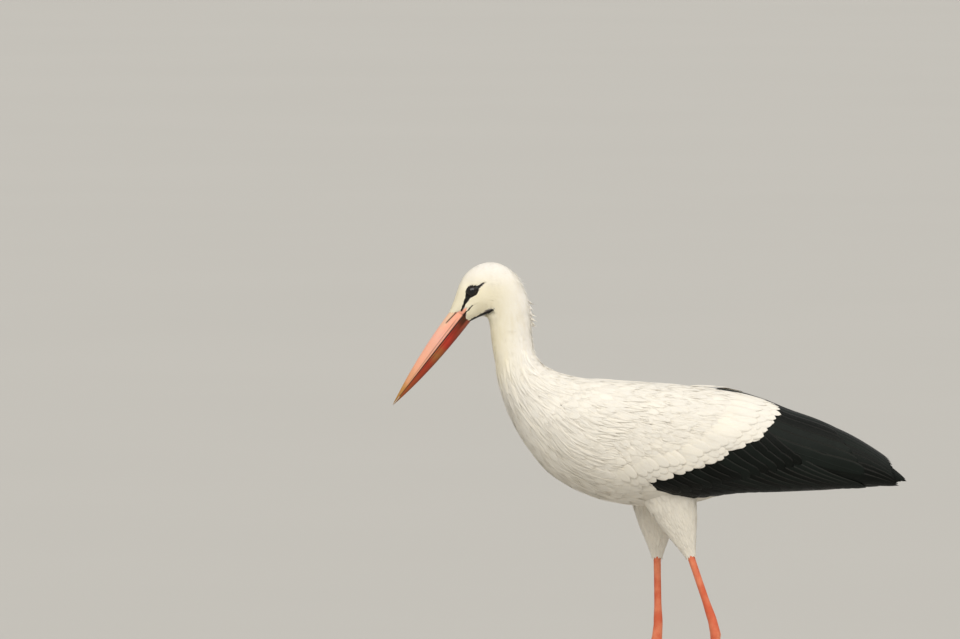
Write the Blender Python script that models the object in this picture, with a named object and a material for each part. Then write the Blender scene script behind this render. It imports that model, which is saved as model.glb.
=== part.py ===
"""White stork (Ciconia ciconia), life size, walking with lowered head and folded wings.

Metres, +Z up. The bird faces -X, its left side is at -Y, and the origin lies on the ground under the
middle of its bounding box. Head, neck, trunk and tail are one loft of rings that stand between the line
of the back and the line of the throat, breast and belly, parted by thin cuts. The folded wings are thick
patches laid on those rings. Legs and toes are lofts along their bones, which two_bones() sets.
"""

import math

import bmesh
import bpy
import numpy as np
from mathutils import Matrix, Vector

GAP = 0.0003  # the cut between neighbouring pieces
AROUND = 26  # points round a ring of the body
FULL_TURN = 2 * math.pi

# Rings of the body, from the face to the tail's end. Each one stands between a point of the bird's
# back line and a point of its front line (throat, breast, belly), both in the plane y = 0.
# name: (back x, back z, front x, front z, half width)
BODY = {
    "face": (-0.3040, 0.7165, -0.2755, 0.6940, 0.0130),
    "lores": (-0.2985, 0.7310, -0.2700, 0.6970, 0.0178),
    "brow": (-0.2905, 0.7540, -0.2640, 0.7000, 0.0220),
    "eyes": (-0.2790, 0.7710, -0.2580, 0.7020, 0.0245),
    "crown": (-0.2600, 0.7830, -0.2530, 0.7025, 0.0265),
    "hind_crown": (-0.2370, 0.7860, -0.2495, 0.7010, 0.0275),
    "occiput": (-0.2140, 0.7760, -0.2470, 0.6970, 0.0275),
    "nape": (-0.1975, 0.7560, -0.2460, 0.6910, 0.0270),
    "neck_top": (-0.1870, 0.7290, -0.2450, 0.6840, 0.0262),
    "upper_neck": (-0.1835, 0.7000, -0.2430, 0.6720, 0.0258),
    "middle_neck": (-0.1820, 0.6740, -0.2405, 0.6540, 0.0260),
    "lower_neck": (-0.1780, 0.6500, -0.2370, 0.6330, 0.0278),
    "neck_root": (-0.1670, 0.6310, -0.2330, 0.6090, 0.0320),
    "shoulders": (-0.1440, 0.6180, -0.2250, 0.5790, 0.0410),
    "mantle": (-0.1100, 0.6090, -0.2110, 0.5450, 0.0540),
    "breast": (-0.0700, 0.6030, -0.1860, 0.5020, 0.0680),
    "keel": (-0.0260, 0.5990, -0.1450, 0.4570, 0.0800),
    "back": (0.0230, 0.5950, -0.0760, 0.4240, 0.0860),
    "belly": (0.0700, 0.5910, -0.0030, 0.4130, 0.0860),
    "loins": (0.1190, 0.5820, 0.0700, 0.4190, 0.0770),
    "rump": (0.1680, 0.5660, 0.1380, 0.4420, 0.0590),
    "vent": (0.2100, 0.5430, 0.1960, 0.4690, 0.0420),
    "tail_root": (0.2480, 0.5170, 0.2400, 0.4800, 0.0350),
    "tail_middle": (0.3050, 0.4880, 0.3020, 0.4700, 0.0350),
    "tail_fan": (0.3450, 0.4660, 0.3440, 0.4570, 0.0330),
    "tail_end": (0.3700, 0.4540, 0.3695, 0.4500, 0.0280),
}
RING_POWER = 2.15  # 2 is an ellipse, more is squarer

# Where the body is cut into nodes: (node, first ring, last ring, rings in the loft)
BODY_CUTS = (
    ("head", "face", "neck_top", 15),
    ("neck_upper", "neck_top", "middle_neck", 5),
    ("neck_middle", "middle_neck", "neck_root", 5),
    ("neck_lower", "neck_root", "mantle", 5),
    ("trunk", "mantle", "vent", 17),
    ("tail", "vent", "tail_end", 8),
)

# The bill: its gape runs straight from the face to the tip.
BILL_BASE = np.array((-0.2870, 0.0, 0.7030))
BILL_TIP = np.array((-0.3938, 0.0, 0.5665))
BILL_HALF_WIDTH = 0.0122
CULMEN_HEIGHT = 0.0190  # upper half above the gape, at the face
GONYS_DEPTH = 0.0142  # lower half below it
CULMEN_CURVE, GONYS_CURVE, SIDE_CURVE = 1.9, 2.3, 1.15  # powers by which the bill narrows

# The eyes: balls set into the sides of the head.
EYE_RADIUS = 0.0095
EYE_CENTRE = (-0.2722, 0.0172, 0.7425)

# The rings that the folded wings lie on: the body's own as far as the belly, then the wings' own.
WING_BED = [BODY[name] for name in ("shoulders", "mantle", "breast", "keel", "back", "belly")] + [
    (0.1205, 0.5850, 0.0690, 0.4150, 0.0815),
    (0.1680, 0.5710, 0.1350, 0.4260, 0.0700),
    (0.2130, 0.5530, 0.1950, 0.4310, 0.0610),
    (0.2600, 0.5370, 0.2500, 0.4350, 0.0540),
    (0.3080, 0.5160, 0.3020, 0.4380, 0.0470),
    (0.3560, 0.4870, 0.3530, 0.4410, 0.0390),
    (0.3938, 0.4580, 0.3928, 0.4430, 0.0230),
]
WING_START, WING_END = 1.55, 12.0  # places among those rings of the bend and the tip
# The wing's upper and lower edges in degrees round from the back line, at equal steps from bend to tip
WING_EDGES = ((16, 98), (12, 118), (8, 140), (5, 155), (4, 162), (5, 168))
WING_BEND = 60.0  # the way in which the rounded bend points
WING_NOSE = 0.09  # share of the length over which the bend is rounded
WING_THICKNESS, WING_EDGE = 0.0075, 0.0016
BED_CLEARANCE = 0.0021
# The line between the white coverts and the black secondaries, at shares of the wing's length and width
BLACK_FROM, BLACK_TO = (0.24, 1.00), (0.58, 0.40)
TERTIALS_FROM, PRIMARIES_FROM = 0.58, 0.79
COVERT_STEPS, SECONDARIES_STEP = 20, 9  # steps along the coverts, and the one where the secondaries start

# Legs: knee hidden in the body, ankle, and the joint of the toes. The right leg is a step ahead.
TIBIA_LENGTH, TARSUS_LENGTH = 0.232, 0.214
KNEE_HEIGHT, TOE_JOINT_HEIGHT = 0.444, 0.0105
KNEE_SPREAD, FOOT_SPREAD = 0.034, 0.042
LEGS = {"left": (-1, 0.026, 0.092), "right": (1, 0.010, -0.058)}  # sign of y, knee x, toe joint x
# The limbs' radii, fore and aft, at distances along their bones
THIGH_PROFILE = ((0.0, 0.0400), (0.028, 0.0370), (0.058, 0.0285), (0.084, 0.0185), (0.102, 0.0115), (0.109, 0.0082))
SHANK_PROFILE = ((0.1093, 0.0060), (0.139, 0.0056), (0.186, 0.0058), (0.209, 0.0072), (0.223, 0.0088), (0.232, 0.0070))
TARSUS_PROFILE = ((-0.006, 0.0050), (0.002, 0.0090), (0.012, 0.0082), (0.024, 0.0066), (0.047, 0.0056)) + (
    (0.150, 0.0050),
    (0.193, 0.0056),
    (0.207, 0.0066),
)
THIGH_FLATNESS, SHIN_FLATNESS = 0.56, 0.90  # side to side, as a share of fore and aft

# Toes: (degrees outwards from straight ahead, length, radius at the root, radius at the claw, joints)
TOES = {
    "inner": (-36, 0.048, 0.0046, 0.0034, 2),
    "middle": (0, 0.066, 0.0050, 0.0035, 3),
    "outer": (35, 0.054, 0.0046, 0.0033, 3),
    "hind": (168, 0.024, 0.0040, 0.0031, 1),
}
TOE_START, HIND_TOE_START = 0.0160, 0.0070  # from the toe joint
TOE_SINK = 0.86  # a toe's middle above the ground, as a share of its radius: the rest is its flat sole
HIND_TOE_RISE = 0.0040
CLAW_LENGTH = 0.0095
WEB_REACH, WEB_THICKNESS = 0.0125, 0.0022  # the small webs between the front toes
AROUND_LIMB, AROUND_TOE, AROUND_CLAW = 12, 9, 7

PLUMAGE_WHITE = ("plumage_white", (0.86, 0.83, 0.76), 0.75)
PLUMAGE_BLACK = ("plumage_black", (0.02, 0.02, 0.024), 0.5)
BILL_RED = ("bill_red", (0.75, 0.20, 0.11), 0.4)
LEG_RED = ("leg_red", (0.68, 0.16, 0.09), 0.55)
EYE_DARK = ("eye_dark", (0.02, 0.012, 0.01), 0.08)
CLAW_HORN = ("claw_horn", (0.10, 0.06, 0.05), 0.45)


# ---- making meshes ----------------------------------------------------------------------------------


def clear_scene():
    for obj in list(bpy.data.objects):
        bpy.data.objects.remove(obj)


def collection(name):
    made = bpy.data.collections.new(name)
    bpy.context.scene.collection.children.link(made)
    return made


def material(name, colour, roughness):
    made = bpy.data.materials.get(name)
    if made is None:
        made = bpy.data.materials.new(name)
        made.use_nodes = True
        shader = made.node_tree.nodes["Principled BSDF"]
        shader.inputs["Base Color"].default_value = (*colour, 1.0)
        shader.inputs["Roughness"].default_value = roughness
    return made


def mesh_object(name, points, faces, finish, into):
    """A smooth-shaded object whose closed mesh faces outwards."""
    mesh = bpy.data.meshes.new(name)
    mesh.from_pydata([tuple(p) for p in points], [], faces)
    shape = bmesh.new()
    shape.from_mesh(mesh)
    bmesh.ops.remove_doubles(shape, verts=shape.verts, dist=1e-6)
    bmesh.ops.recalc_face_normals(shape, faces=shape.faces)
    shape.to_mesh(mesh)
    shape.free()
    mesh.shade_smooth()
    mesh.set_sharp_from_angle(angle=math.radians(50))
    mesh.materials.append(material(*finish))
    obj = bpy.data.objects.new(name, mesh)
    into.objects.link(obj)
    return obj


def loft(name, rings, finish, into):
    """A closed skin over rings of equal point counts, with a flat cap on each end."""
    rings = np.asarray(rings)
    count, around = rings.shape[:2]
    faces = [
        (i * around + j, i * around + (j + 1) % around, (i + 1) * around + (j + 1) % around, (i + 1) * around + j)
        for i in range(count - 1)
        for j in range(around)
    ]
    faces += [tuple(range(around)), tuple(range((count - 1) * around, count * around))]
    return mesh_object(name, rings.reshape(-1, 3), faces, finish, into)


def slab(name, outer, inner, finish, into):
    """A closed patch between two grids of points of one size, with walls round its rim."""
    rows, columns = outer.shape[:2]
    inside = rows * columns
    faces = []
    for i in range(rows - 1):
        for j in range(columns - 1):
            a, b = i * columns + j, (i + 1) * columns + j
            faces += [(a, a + 1, b + 1, b), (inside + a, inside + b, inside + b + 1, inside + a + 1)]
    rim = [j for j in range(columns)]
    rim += [i * columns + columns - 1 for i in range(1, rows)]
    rim += [(rows - 1) * columns + j for j in range(columns - 2, -1, -1)]
    rim += [i * columns for i in range(rows - 2, 0, -1)]
    faces += [(a, inside + a, inside + b, b) for a, b in zip(rim, rim[1:] + rim[:1])]
    points = np.concatenate([outer.reshape(-1, 3), inner.reshape(-1, 3)])
    return mesh_object(name, points, faces, finish, into)


def hull(name, points, finish, into):
    """The closed convex skin round some points."""
    shape = bmesh.new()
    for p in points:
        shape.verts.new(tuple(p))
    made = bmesh.ops.convex_hull(shape, input=shape.verts)
    inside = set(made["geom_interior"]) | set(made["geom_unused"])
    bmesh.ops.delete(shape, geom=[v for v in inside if isinstance(v, bmesh.types.BMVert)], context="VERTS")
    bmesh.ops.dissolve_limit(shape, angle_limit=math.radians(1), verts=shape.verts, edges=shape.edges)
    corners = [tuple(v.co) for v in shape.verts]
    shape.verts.index_update()
    faces = [[v.index for v in face.verts] for face in shape.faces]
    shape.free()
    return mesh_object(name, corners, faces, finish, into)


def turned(name, profile, around, flatness=1.0, rise=None):
    """The mesh of a profile of (distance, radius) turned about local Z, with flat ends.

    The rise, a function of the distance, lifts a toe's rings along local X, and what would lie below
    X = 0 is pressed flat, as a sole.
    """
    line = [(profile[0][0], 0.0), *profile, (profile[-1][0], 0.0)]
    shape = bmesh.new()
    corners = [shape.verts.new((radius, 0.0, distance)) for distance, radius in line]
    edges = [shape.edges.new(pair) for pair in zip(corners, corners[1:])]
    turn = {"cent": (0, 0, 0), "axis": (0, 0, 1), "angle": FULL_TURN, "steps": around}
    bmesh.ops.spin(shape, geom=corners + edges, use_merge=True, **turn)
    bmesh.ops.remove_doubles(shape, verts=shape.verts, dist=1e-6)
    for corner in shape.verts:
        corner.co.y *= flatness
        if rise:
            corner.co.x = max(0.0, corner.co.x + rise(corner.co.z))
    bmesh.ops.remove_doubles(shape, verts=shape.verts, dist=1e-5)
    bmesh.ops.recalc_face_normals(shape, faces=shape.faces)
    mesh = bpy.data.meshes.new(name)
    shape.to_mesh(mesh)
    shape.free()
    mesh.shade_smooth()
    mesh.set_sharp_from_angle(angle=math.radians(50))
    return mesh


def along_bone(start, direction, hint):
    """The placing that puts local Z along a direction and local X near a hinted one."""
    z = Vector(direction).normalized()
    y = z.cross(Vector(hint)).normalized()
    placing = Matrix((y.cross(z), y, z)).transposed().to_4x4()
    placing.translation = start
    return placing


def place(name, mesh, placing, finish, into):
    if not mesh.materials:
        mesh.materials.append(material(*finish))
    obj = bpy.data.objects.new(name, mesh)
    obj.matrix_world = placing
    into.objects.link(obj)
    return obj


def boolean(obj, cutter, operation="DIFFERENCE"):
    change = obj.modifiers.new(operation.lower() + "_" + cutter.name, "BOOLEAN")
    change.operation = operation
    change.object = cutter


def guide(obj):
    """Marks a helper, such as a cutter, which isn't a piece of the bird."""
    obj.hide_render = True
    obj.display_type = "WIRE"
    return obj


def grown(obj, into, by=GAP):
    """A copy of a piece that is larger by the gap on every side, to cut its neighbours with."""
    copy = place(obj.name + "_cutter", obj.data, obj.matrix_world, None, into)
    swell = copy.modifiers.new("swell", "DISPLACE")
    swell.strength = by
    swell.mid_level = 0.0
    return guide(copy)


# ---- curves and rings -------------------------------------------------------------------------------


def smooth_row(rows, place):
    """The row at a place between rows, each stretch being the Catmull-Rom cubic of its neighbours."""
    rows = np.asarray(rows, float)
    padded = np.vstack([2 * rows[0] - rows[1], rows, 2 * rows[-1] - rows[-2]])
    i = min(int(place), len(rows) - 2)
    t = place - i
    a, b, c, d = padded[i : i + 4]
    return b + 0.5 * t * (c - a + t * (2 * a - 5 * b + 4 * c - d + t * (3 * (b - c) + d - a)))


def body_ring(row, angles, grow=0.0):
    """Points of a ring at angles from the back line (0) round the left side to the front line (pi)."""
    back, front, half_width = row[0:2], row[2:4], row[4] + grow
    middle, reach = (back + front) / 2, (back - front) / 2
    length = np.linalg.norm(reach)
    reach = reach * (length + grow) / length
    up, out = np.cos(angles), np.sin(angles)
    up = np.sign(up) * np.abs(up) ** (2 / RING_POWER)
    out = np.sign(out) * np.abs(out) ** (2 / RING_POWER)
    return np.stack([middle[0] + reach[0] * up, -half_width * out, middle[1] + reach[1] * up], -1)


def plane_normal(row):
    """The way along the bird, square to a ring."""
    chord = row[0:2] - row[2:4]
    return np.array([chord[1], 0.0, -chord[0]]) / np.linalg.norm(chord)


# ---- head, neck, trunk and tail ---------------------------------------------------------------------


def make_body(into):
    rows, names = np.array(list(BODY.values())), list(BODY)
    angles = np.linspace(0, FULL_TURN, AROUND, endpoint=False)
    pieces = {}
    for node, first, last, count in BODY_CUTS:
        places = np.linspace(names.index(first), names.index(last), count)
        rings = [body_ring(smooth_row(rows, place), angles) for place in places]
        if node != "head":
            rings[0] = rings[0] + plane_normal(smooth_row(rows, places[0])) * GAP / 2
        if node != "tail":
            rings[-1] = rings[-1] - plane_normal(smooth_row(rows, places[-1])) * GAP / 2
        pieces[node] = loft(node, rings, PLUMAGE_WHITE, into)
    return pieces


def ball(name, radius):
    shape = bmesh.new()
    bmesh.ops.create_uvsphere(shape, u_segments=12, v_segments=7, radius=radius)
    mesh = bpy.data.meshes.new(name)
    shape.to_mesh(mesh)
    shape.free()
    mesh.shade_smooth()
    return mesh


def make_eyes(head, into, cutters):
    eye, socket = ball("eye", EYE_RADIUS), ball("socket", EYE_RADIUS + GAP)
    for side, (sign, _, _) in LEGS.items():
        placing = Matrix.Translation((EYE_CENTRE[0], sign * EYE_CENTRE[1], EYE_CENTRE[2]))
        place(f"eye_{side}", eye, placing, EYE_DARK, into)
        boolean(head, guide(place(f"socket_{side}", socket, placing, EYE_DARK, cutters)))


def bill_rings(height, curve, sign):
    """Half-round sections from the face to the tip, above (sign 1) or below the gape."""
    along = BILL_TIP - BILL_BASE
    length = np.linalg.norm(along)
    along = along / length
    up = np.array([along[2], 0.0, -along[0]])
    angles = np.linspace(0, math.pi, 9)
    rings = []
    for share in np.append(np.linspace(GAP / length, 0.9, 8), (0.96, 0.995)):
        tall = height * (1 - share**curve)
        wide = BILL_HALF_WIDTH * (1 - share**SIDE_CURVE) + 0.0002
        lift = GAP / 2 + tall * np.sin(angles) ** 0.9
        centre = BILL_BASE + along * share * length
        rings.append(centre + np.outer(lift * sign, up) - np.outer(wide * np.cos(angles), (0, 1, 0)))
    return rings


def make_bill(into):
    loft("bill_upper", bill_rings(CULMEN_HEIGHT, CULMEN_CURVE, 1), BILL_RED, into)
    loft("bill_lower", bill_rings(GONYS_DEPTH, GONYS_CURVE, -1), BILL_RED, into)


# ---- wings ------------------------------------------------------------------------------------------


def wing_point(length_share, width_share, depth):
    """A point of the left wing at shares of its length and width; depth is 0 outside and 1 inside."""
    row = smooth_row(WING_BED, WING_START + length_share * (WING_END - WING_START))
    upper, lower = smooth_row(WING_EDGES, length_share * (len(WING_EDGES) - 1))
    nose = min(1.0, length_share / WING_NOSE + 0.02)
    rounding = math.sqrt(1 - (1 - nose) ** 2)
    upper = WING_BEND + (upper - WING_BEND) * rounding
    lower = WING_BEND + (lower - WING_BEND) * rounding
    angle = math.radians(upper + (lower - upper) * width_share)
    rim = 4 * width_share * (1 - width_share) * rounding * (1 - length_share**3)
    thick = WING_EDGE + (WING_THICKNESS - WING_EDGE) * math.sqrt(rim)
    return body_ring(row, np.array(angle), BED_CLEARANCE + thick * (1 - depth))


def black_line(length_share):
    """The share of the wing's width at which the white coverts end."""
    return float(np.interp(length_share, (BLACK_FROM[0], BLACK_TO[0]), (BLACK_FROM[1], BLACK_TO[1])))


def wing_piece(name, side, along, edges, across, finish, into):
    """A slab of a wing over some shares of its length, between two lines along it."""
    mirror = (1, 1 if side == "left" else -1, 1)
    faces = []
    for depth in (0, 1):
        rows = [[wing_point(a, b, depth) for b in np.linspace(edges[0](a), edges[1](a), across + 1)] for a in along]
        faces.append(np.array(rows) * mirror)
    return slab(f"wing_{side}_{name}", *faces, finish, into)


def make_wings(into):
    """Both wings' nodes; hands back, per side, the ones that lie over the thigh."""
    half_gap = 0.0012  # as a share of the wing's length or width, either side of a cut

    def top(_):
        return 0.0

    def bottom(_):
        return 1.0

    def coverts_end(share):
        return black_line(share) - half_gap if share > BLACK_FROM[0] else 1.0

    def secondaries_start(share):
        return black_line(share) + half_gap

    front = np.linspace(0, TERTIALS_FROM - half_gap, COVERT_STEPS + 1)
    middle = np.linspace(TERTIALS_FROM + half_gap, PRIMARIES_FROM - half_gap, 5)
    rear = np.linspace(PRIMARIES_FROM + half_gap, 1, 6)
    over_thighs = {}
    for side in LEGS:
        coverts = wing_piece("coverts", side, front, (top, coverts_end), 9, PLUMAGE_WHITE, into)
        lower = front[SECONDARIES_STEP:]
        secondaries = wing_piece("secondaries", side, lower, (secondaries_start, bottom), 4, PLUMAGE_BLACK, into)
        wing_piece("tertials", side, middle, (top, bottom), 8, PLUMAGE_BLACK, into)
        wing_piece("primaries", side, rear, (top, bottom), 7, PLUMAGE_BLACK, into)
        over_thighs[side] = (coverts, secondaries)
    return over_thighs


# ---- legs -------------------------------------------------------------------------------------------


def two_bones(start, end, first, second):
    """The joint between two bones of known length that reach from start to end, bent towards the tail."""
    line = end - start
    reach = np.linalg.norm(line)
    along = (first**2 - second**2 + reach**2) / (2 * reach)
    aside = math.sqrt(first**2 - along**2)
    line = line / reach
    return start + along * line + aside * np.array([-line[2], 0.0, line[0]])


def make_toe(side, name, joint, sign, meshes, into):
    """A toe and its claw; hands back the toe, where it starts and the way it points."""
    turn, length, root, tip, _ = TOES[name]
    turn = math.radians(turn)
    direction = Vector((-math.cos(turn), sign * math.sin(turn), 0.0))
    start = Vector((joint[0], joint[1], 0.0)) + direction * (HIND_TOE_START if name == "hind" else TOE_START)
    up = (0.0, 0.0, 1.0)
    toe = place(f"toe_{side}_{name}", meshes[name], along_bone(start, direction, up), LEG_RED, into)
    placing = along_bone(start + direction * (length + GAP), direction, up)
    place(f"claw_{side}_{name}", meshes["claw"], placing, CLAW_HORN, into)
    return toe, start, direction


def toe_meshes():
    """The meshes of the toes, whose pads swell between their joints, and of the claw they share."""
    meshes = {}
    for name, (_, length, root, tip, joints) in TOES.items():
        def radius(distance):
            share = min(1.0, max(0.0, distance / length))
            return (root + (tip - root) * share) * (1 + 0.09 * math.cos(FULL_TURN * (joints + 0.5) * share))

        def rise(distance):
            lift = HIND_TOE_RISE * (1 - distance / length) ** 2 if name == "hind" else 0.0
            return TOE_SINK * radius(distance) + lift

        steps = np.linspace(0, length, 2 * joints + 3)
        meshes[name] = turned(f"toe_{name}", [(d, radius(d)) for d in steps], AROUND_TOE, rise=rise)
    tip = TOES["hind"][3]
    claw = [(share * CLAW_LENGTH, 0.8 * tip * math.sqrt(1 - 0.96 * share**2)) for share in (0, 0.4, 0.75, 1)]

    def droop(distance):
        return TOE_SINK * tip * (1 - 0.35 * distance / CLAW_LENGTH)

    meshes["claw"] = turned("claw", claw, AROUND_CLAW, rise=droop)
    return meshes


def make_palm(side, joint, placing, toes, into, cutters):
    """The pad where the toes part, with small webs between the front toes."""
    points = []
    for step in range(AROUND_LIMB):
        angle = FULL_TURN * step / AROUND_LIMB
        distance, radius = TARSUS_PROFILE[-1]
        rim = (radius * math.cos(angle), SHIN_FLATNESS * radius * math.sin(angle), distance + GAP)
        points.append(placing @ Vector(rim))
    for toe, _, _ in toes:
        rim = [corner.co for corner in toe.data.vertices if corner.co.z < 1e-5]
        points += [toe.matrix_world @ (corner - Vector((0, 0, GAP))) for corner in rim]
    palm = hull(f"palm_{side}", points, LEG_RED, into)
    for (_, near, way), (_, there, other), label in ((*toes[0:2], "inner"), (*toes[1:3], "outer")):
        corners = []
        for height in (0.0008, 0.0008 + WEB_THICKNESS):
            for start, direction in ((near, way), (there, other)):
                for reach in (WEB_REACH, -0.006):
                    corner = start + direction * reach
                    corner.z = height
                    corners.append(corner)
        boolean(palm, guide(hull(f"web_{side}_{label}", corners, LEG_RED, cutters)), "UNION")
    for toe, _, _ in toes:
        boolean(palm, grown(toe, cutters))


def make_leg(side, meshes, thigh_cutters, into, cutters):
    sign, knee_x, toe_x = LEGS[side]
    knee = np.array([knee_x, sign * KNEE_SPREAD, KNEE_HEIGHT])
    joint = np.array([toe_x, sign * FOOT_SPREAD, TOE_JOINT_HEIGHT])
    ankle = two_bones(knee, joint, TIBIA_LENGTH, TARSUS_LENGTH)
    ahead = (-1.0, 0.0, 0.0)
    upper, lower = along_bone(knee, ankle - knee, ahead), along_bone(ankle, joint - ankle, ahead)
    thigh_mesh = turned("thigh", THIGH_PROFILE, AROUND_LIMB, THIGH_FLATNESS)
    thigh = place(f"thigh_{side}", thigh_mesh, upper, PLUMAGE_WHITE, into)
    shank = place(f"shank_{side}", meshes["shank"], upper, LEG_RED, into)
    tarsus = place(f"tarsus_{side}", meshes["tarsus"], lower, LEG_RED, into)
    boolean(shank, grown(tarsus, cutters))
    for cutter in thigh_cutters:
        boolean(thigh, cutter)
    toes = [make_toe(side, name, joint, sign, meshes, into) for name in TOES]
    make_palm(side, joint, lower, toes, into, cutters)


def main():
    clear_scene()
    bird, cutters = collection("white_stork"), collection("cutters")
    body = make_body(bird)
    make_eyes(body["head"], bird, cutters)
    make_bill(bird)
    over_thighs = make_wings(bird)
    trunk_cutter = grown(body["trunk"], cutters)
    meshes = toe_meshes()
    meshes["shank"] = turned("shank", SHANK_PROFILE, AROUND_LIMB, SHIN_FLATNESS)
    meshes["tarsus"] = turned("tarsus", TARSUS_PROFILE, AROUND_LIMB, SHIN_FLATNESS)
    for side in LEGS:
        wing_cutters = [grown(piece, cutters) for piece in over_thighs[side]]
        make_leg(side, meshes, [trunk_cutter, *wing_cutters], bird, cutters)
    stork = bpy.data.objects.new("stork", None)
    bird.objects.link(stork)
    for piece in bird.objects:
        if piece is not stork:
            piece.parent = stork


main()
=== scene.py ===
"""The looks of a white stork (Ciconia ciconia) that walks with lowered head and folded wings.

Metres, +Z up. The bird faces -X and its left side is at -Y. One skin stands for the flesh. The plumage
over it is made of thin closed vanes that follow the lie of the feathers: soft tufts on the head and
neck, lanceolate plumes on the breast, rounded feathers on the body, and rows of white coverts, white
scapulars and black flight feathers on the folded wings.
"""

import math

import bpy
import numpy as np
from mathutils import Matrix, Vector

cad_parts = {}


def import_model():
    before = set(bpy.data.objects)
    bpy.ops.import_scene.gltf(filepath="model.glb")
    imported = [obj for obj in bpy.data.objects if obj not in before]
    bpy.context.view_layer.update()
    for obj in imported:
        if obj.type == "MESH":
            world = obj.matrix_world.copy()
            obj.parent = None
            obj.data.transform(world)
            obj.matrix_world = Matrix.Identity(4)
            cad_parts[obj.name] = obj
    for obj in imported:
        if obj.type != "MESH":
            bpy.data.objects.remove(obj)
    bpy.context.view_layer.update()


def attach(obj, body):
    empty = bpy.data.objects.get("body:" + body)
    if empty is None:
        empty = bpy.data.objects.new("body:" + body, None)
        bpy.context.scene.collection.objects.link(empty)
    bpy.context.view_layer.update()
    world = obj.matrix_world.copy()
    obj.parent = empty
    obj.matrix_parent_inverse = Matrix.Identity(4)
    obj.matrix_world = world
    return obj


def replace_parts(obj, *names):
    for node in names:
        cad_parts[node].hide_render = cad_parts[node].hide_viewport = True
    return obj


FULL_TURN = 2 * math.pi
ALL_ROUND = (0.0, FULL_TURN)

# ---- the bird's measures, as in the solids ----

# Rings of the body: (back x, back z, front x, front z, half width), from the face to the tail's end
BODY = {
    "face": (-0.3040, 0.7165, -0.2755, 0.6940, 0.0130),
    "lores": (-0.2985, 0.7310, -0.2700, 0.6970, 0.0178),
    "brow": (-0.2905, 0.7540, -0.2640, 0.7000, 0.0220),
    "eyes": (-0.2790, 0.7710, -0.2580, 0.7020, 0.0245),
    "crown": (-0.2600, 0.7830, -0.2530, 0.7025, 0.0265),
    "hind_crown": (-0.2370, 0.7860, -0.2495, 0.7010, 0.0275),
    "occiput": (-0.2140, 0.7760, -0.2470, 0.6970, 0.0275),
    "nape": (-0.1975, 0.7560, -0.2460, 0.6910, 0.0270),
    "neck_top": (-0.1870, 0.7290, -0.2450, 0.6840, 0.0262),
    "upper_neck": (-0.1835, 0.7000, -0.2430, 0.6720, 0.0258),
    "middle_neck": (-0.1820, 0.6740, -0.2405, 0.6540, 0.0260),
    "lower_neck": (-0.1780, 0.6500, -0.2370, 0.6330, 0.0278),
    "neck_root": (-0.1670, 0.6310, -0.2330, 0.6090, 0.0320),
    "shoulders": (-0.1440, 0.6180, -0.2250, 0.5790, 0.0410),
    "mantle": (-0.1100, 0.6090, -0.2110, 0.5450, 0.0540),
    "breast": (-0.0700, 0.6030, -0.1860, 0.5020, 0.0680),
    "keel": (-0.0260, 0.5990, -0.1450, 0.4570, 0.0800),
    "back": (0.0230, 0.5950, -0.0760, 0.4240, 0.0860),
    "belly": (0.0700, 0.5910, -0.0030, 0.4130, 0.0860),
    "loins": (0.1190, 0.5820, 0.0700, 0.4190, 0.0770),
    "rump": (0.1680, 0.5660, 0.1380, 0.4420, 0.0590),
    "vent": (0.2100, 0.5430, 0.1960, 0.4690, 0.0420),
    "tail_root": (0.2480, 0.5170, 0.2400, 0.4800, 0.0350),
    "tail_middle": (0.3050, 0.4880, 0.3020, 0.4700, 0.0350),
    "tail_fan": (0.3450, 0.4660, 0.3440, 0.4570, 0.0330),
    "tail_end": (0.3700, 0.4540, 0.3695, 0.4500, 0.0280),
}
RING_POWER = 2.15  # of the superellipse that each ring is
# Places along the body are its rings' numbers, from 0 at the face
PLACE = {name: float(i) for i, name in enumerate(BODY)}
BODY_ROWS = np.array(list(BODY.values()))
# How deep the skin lies under the plumage at each ring
COAT_DEPTH = np.interp(
    np.arange(len(BODY)),
    (0, 1, 3, 5, 8, 11, 14, 17, 20, 22, 25),
    (0.0012, 0.0018, 0.0030, 0.0045, 0.0060, 0.0070, 0.0110, 0.0130, 0.0120, 0.0090, 0.0015),
)[:, None]

# The rings that the folded wings lie on
WING_BED = np.array(
    [BODY[name] for name in ("shoulders", "mantle", "breast", "keel", "back", "belly")]
    + [
        (0.1205, 0.5850, 0.0690, 0.4150, 0.0815),
        (0.1680, 0.5710, 0.1350, 0.4260, 0.0700),
        (0.2130, 0.5530, 0.1950, 0.4310, 0.0610),
        (0.2600, 0.5370, 0.2500, 0.4350, 0.0540),
        (0.3080, 0.5160, 0.3020, 0.4380, 0.0470),
        (0.3560, 0.4870, 0.3530, 0.4410, 0.0390),
        (0.3938, 0.4580, 0.3928, 0.4430, 0.0230),
    ]
)
# Where the wing starts and ends on its bed, and its upper and lower edges in degrees from the back line
WING_START, WING_END = 1.55, 12.0
WING_EDGES = np.array(((16, 98), (12, 118), (8, 140), (5, 155), (4, 162), (5, 168)), float)
# The angle that the wing's front end draws in to, and the share of the length in which it does
WING_BEND, WING_NOSE = 60.0, 0.09
WING_THICKNESS, WING_EDGE, BED_CLEARANCE = 0.0075, 0.0016, 0.0021
PAD_DEPTH = 0.0032  # how far the wing's pads lie under its outer face
# Where the white of the wing ends: (share of its length, share of its width), from the breast to the back
WHITE_EDGE = (
    (0.300, 1.000), (0.324, 0.904), (0.366, 0.778), (0.404, 0.712), (0.435, 0.680), (0.459, 0.626),
    (0.499, 0.558), (0.544, 0.474), (0.574, 0.340), (0.588, 0.180), (0.592, 0.000),
)
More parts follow.
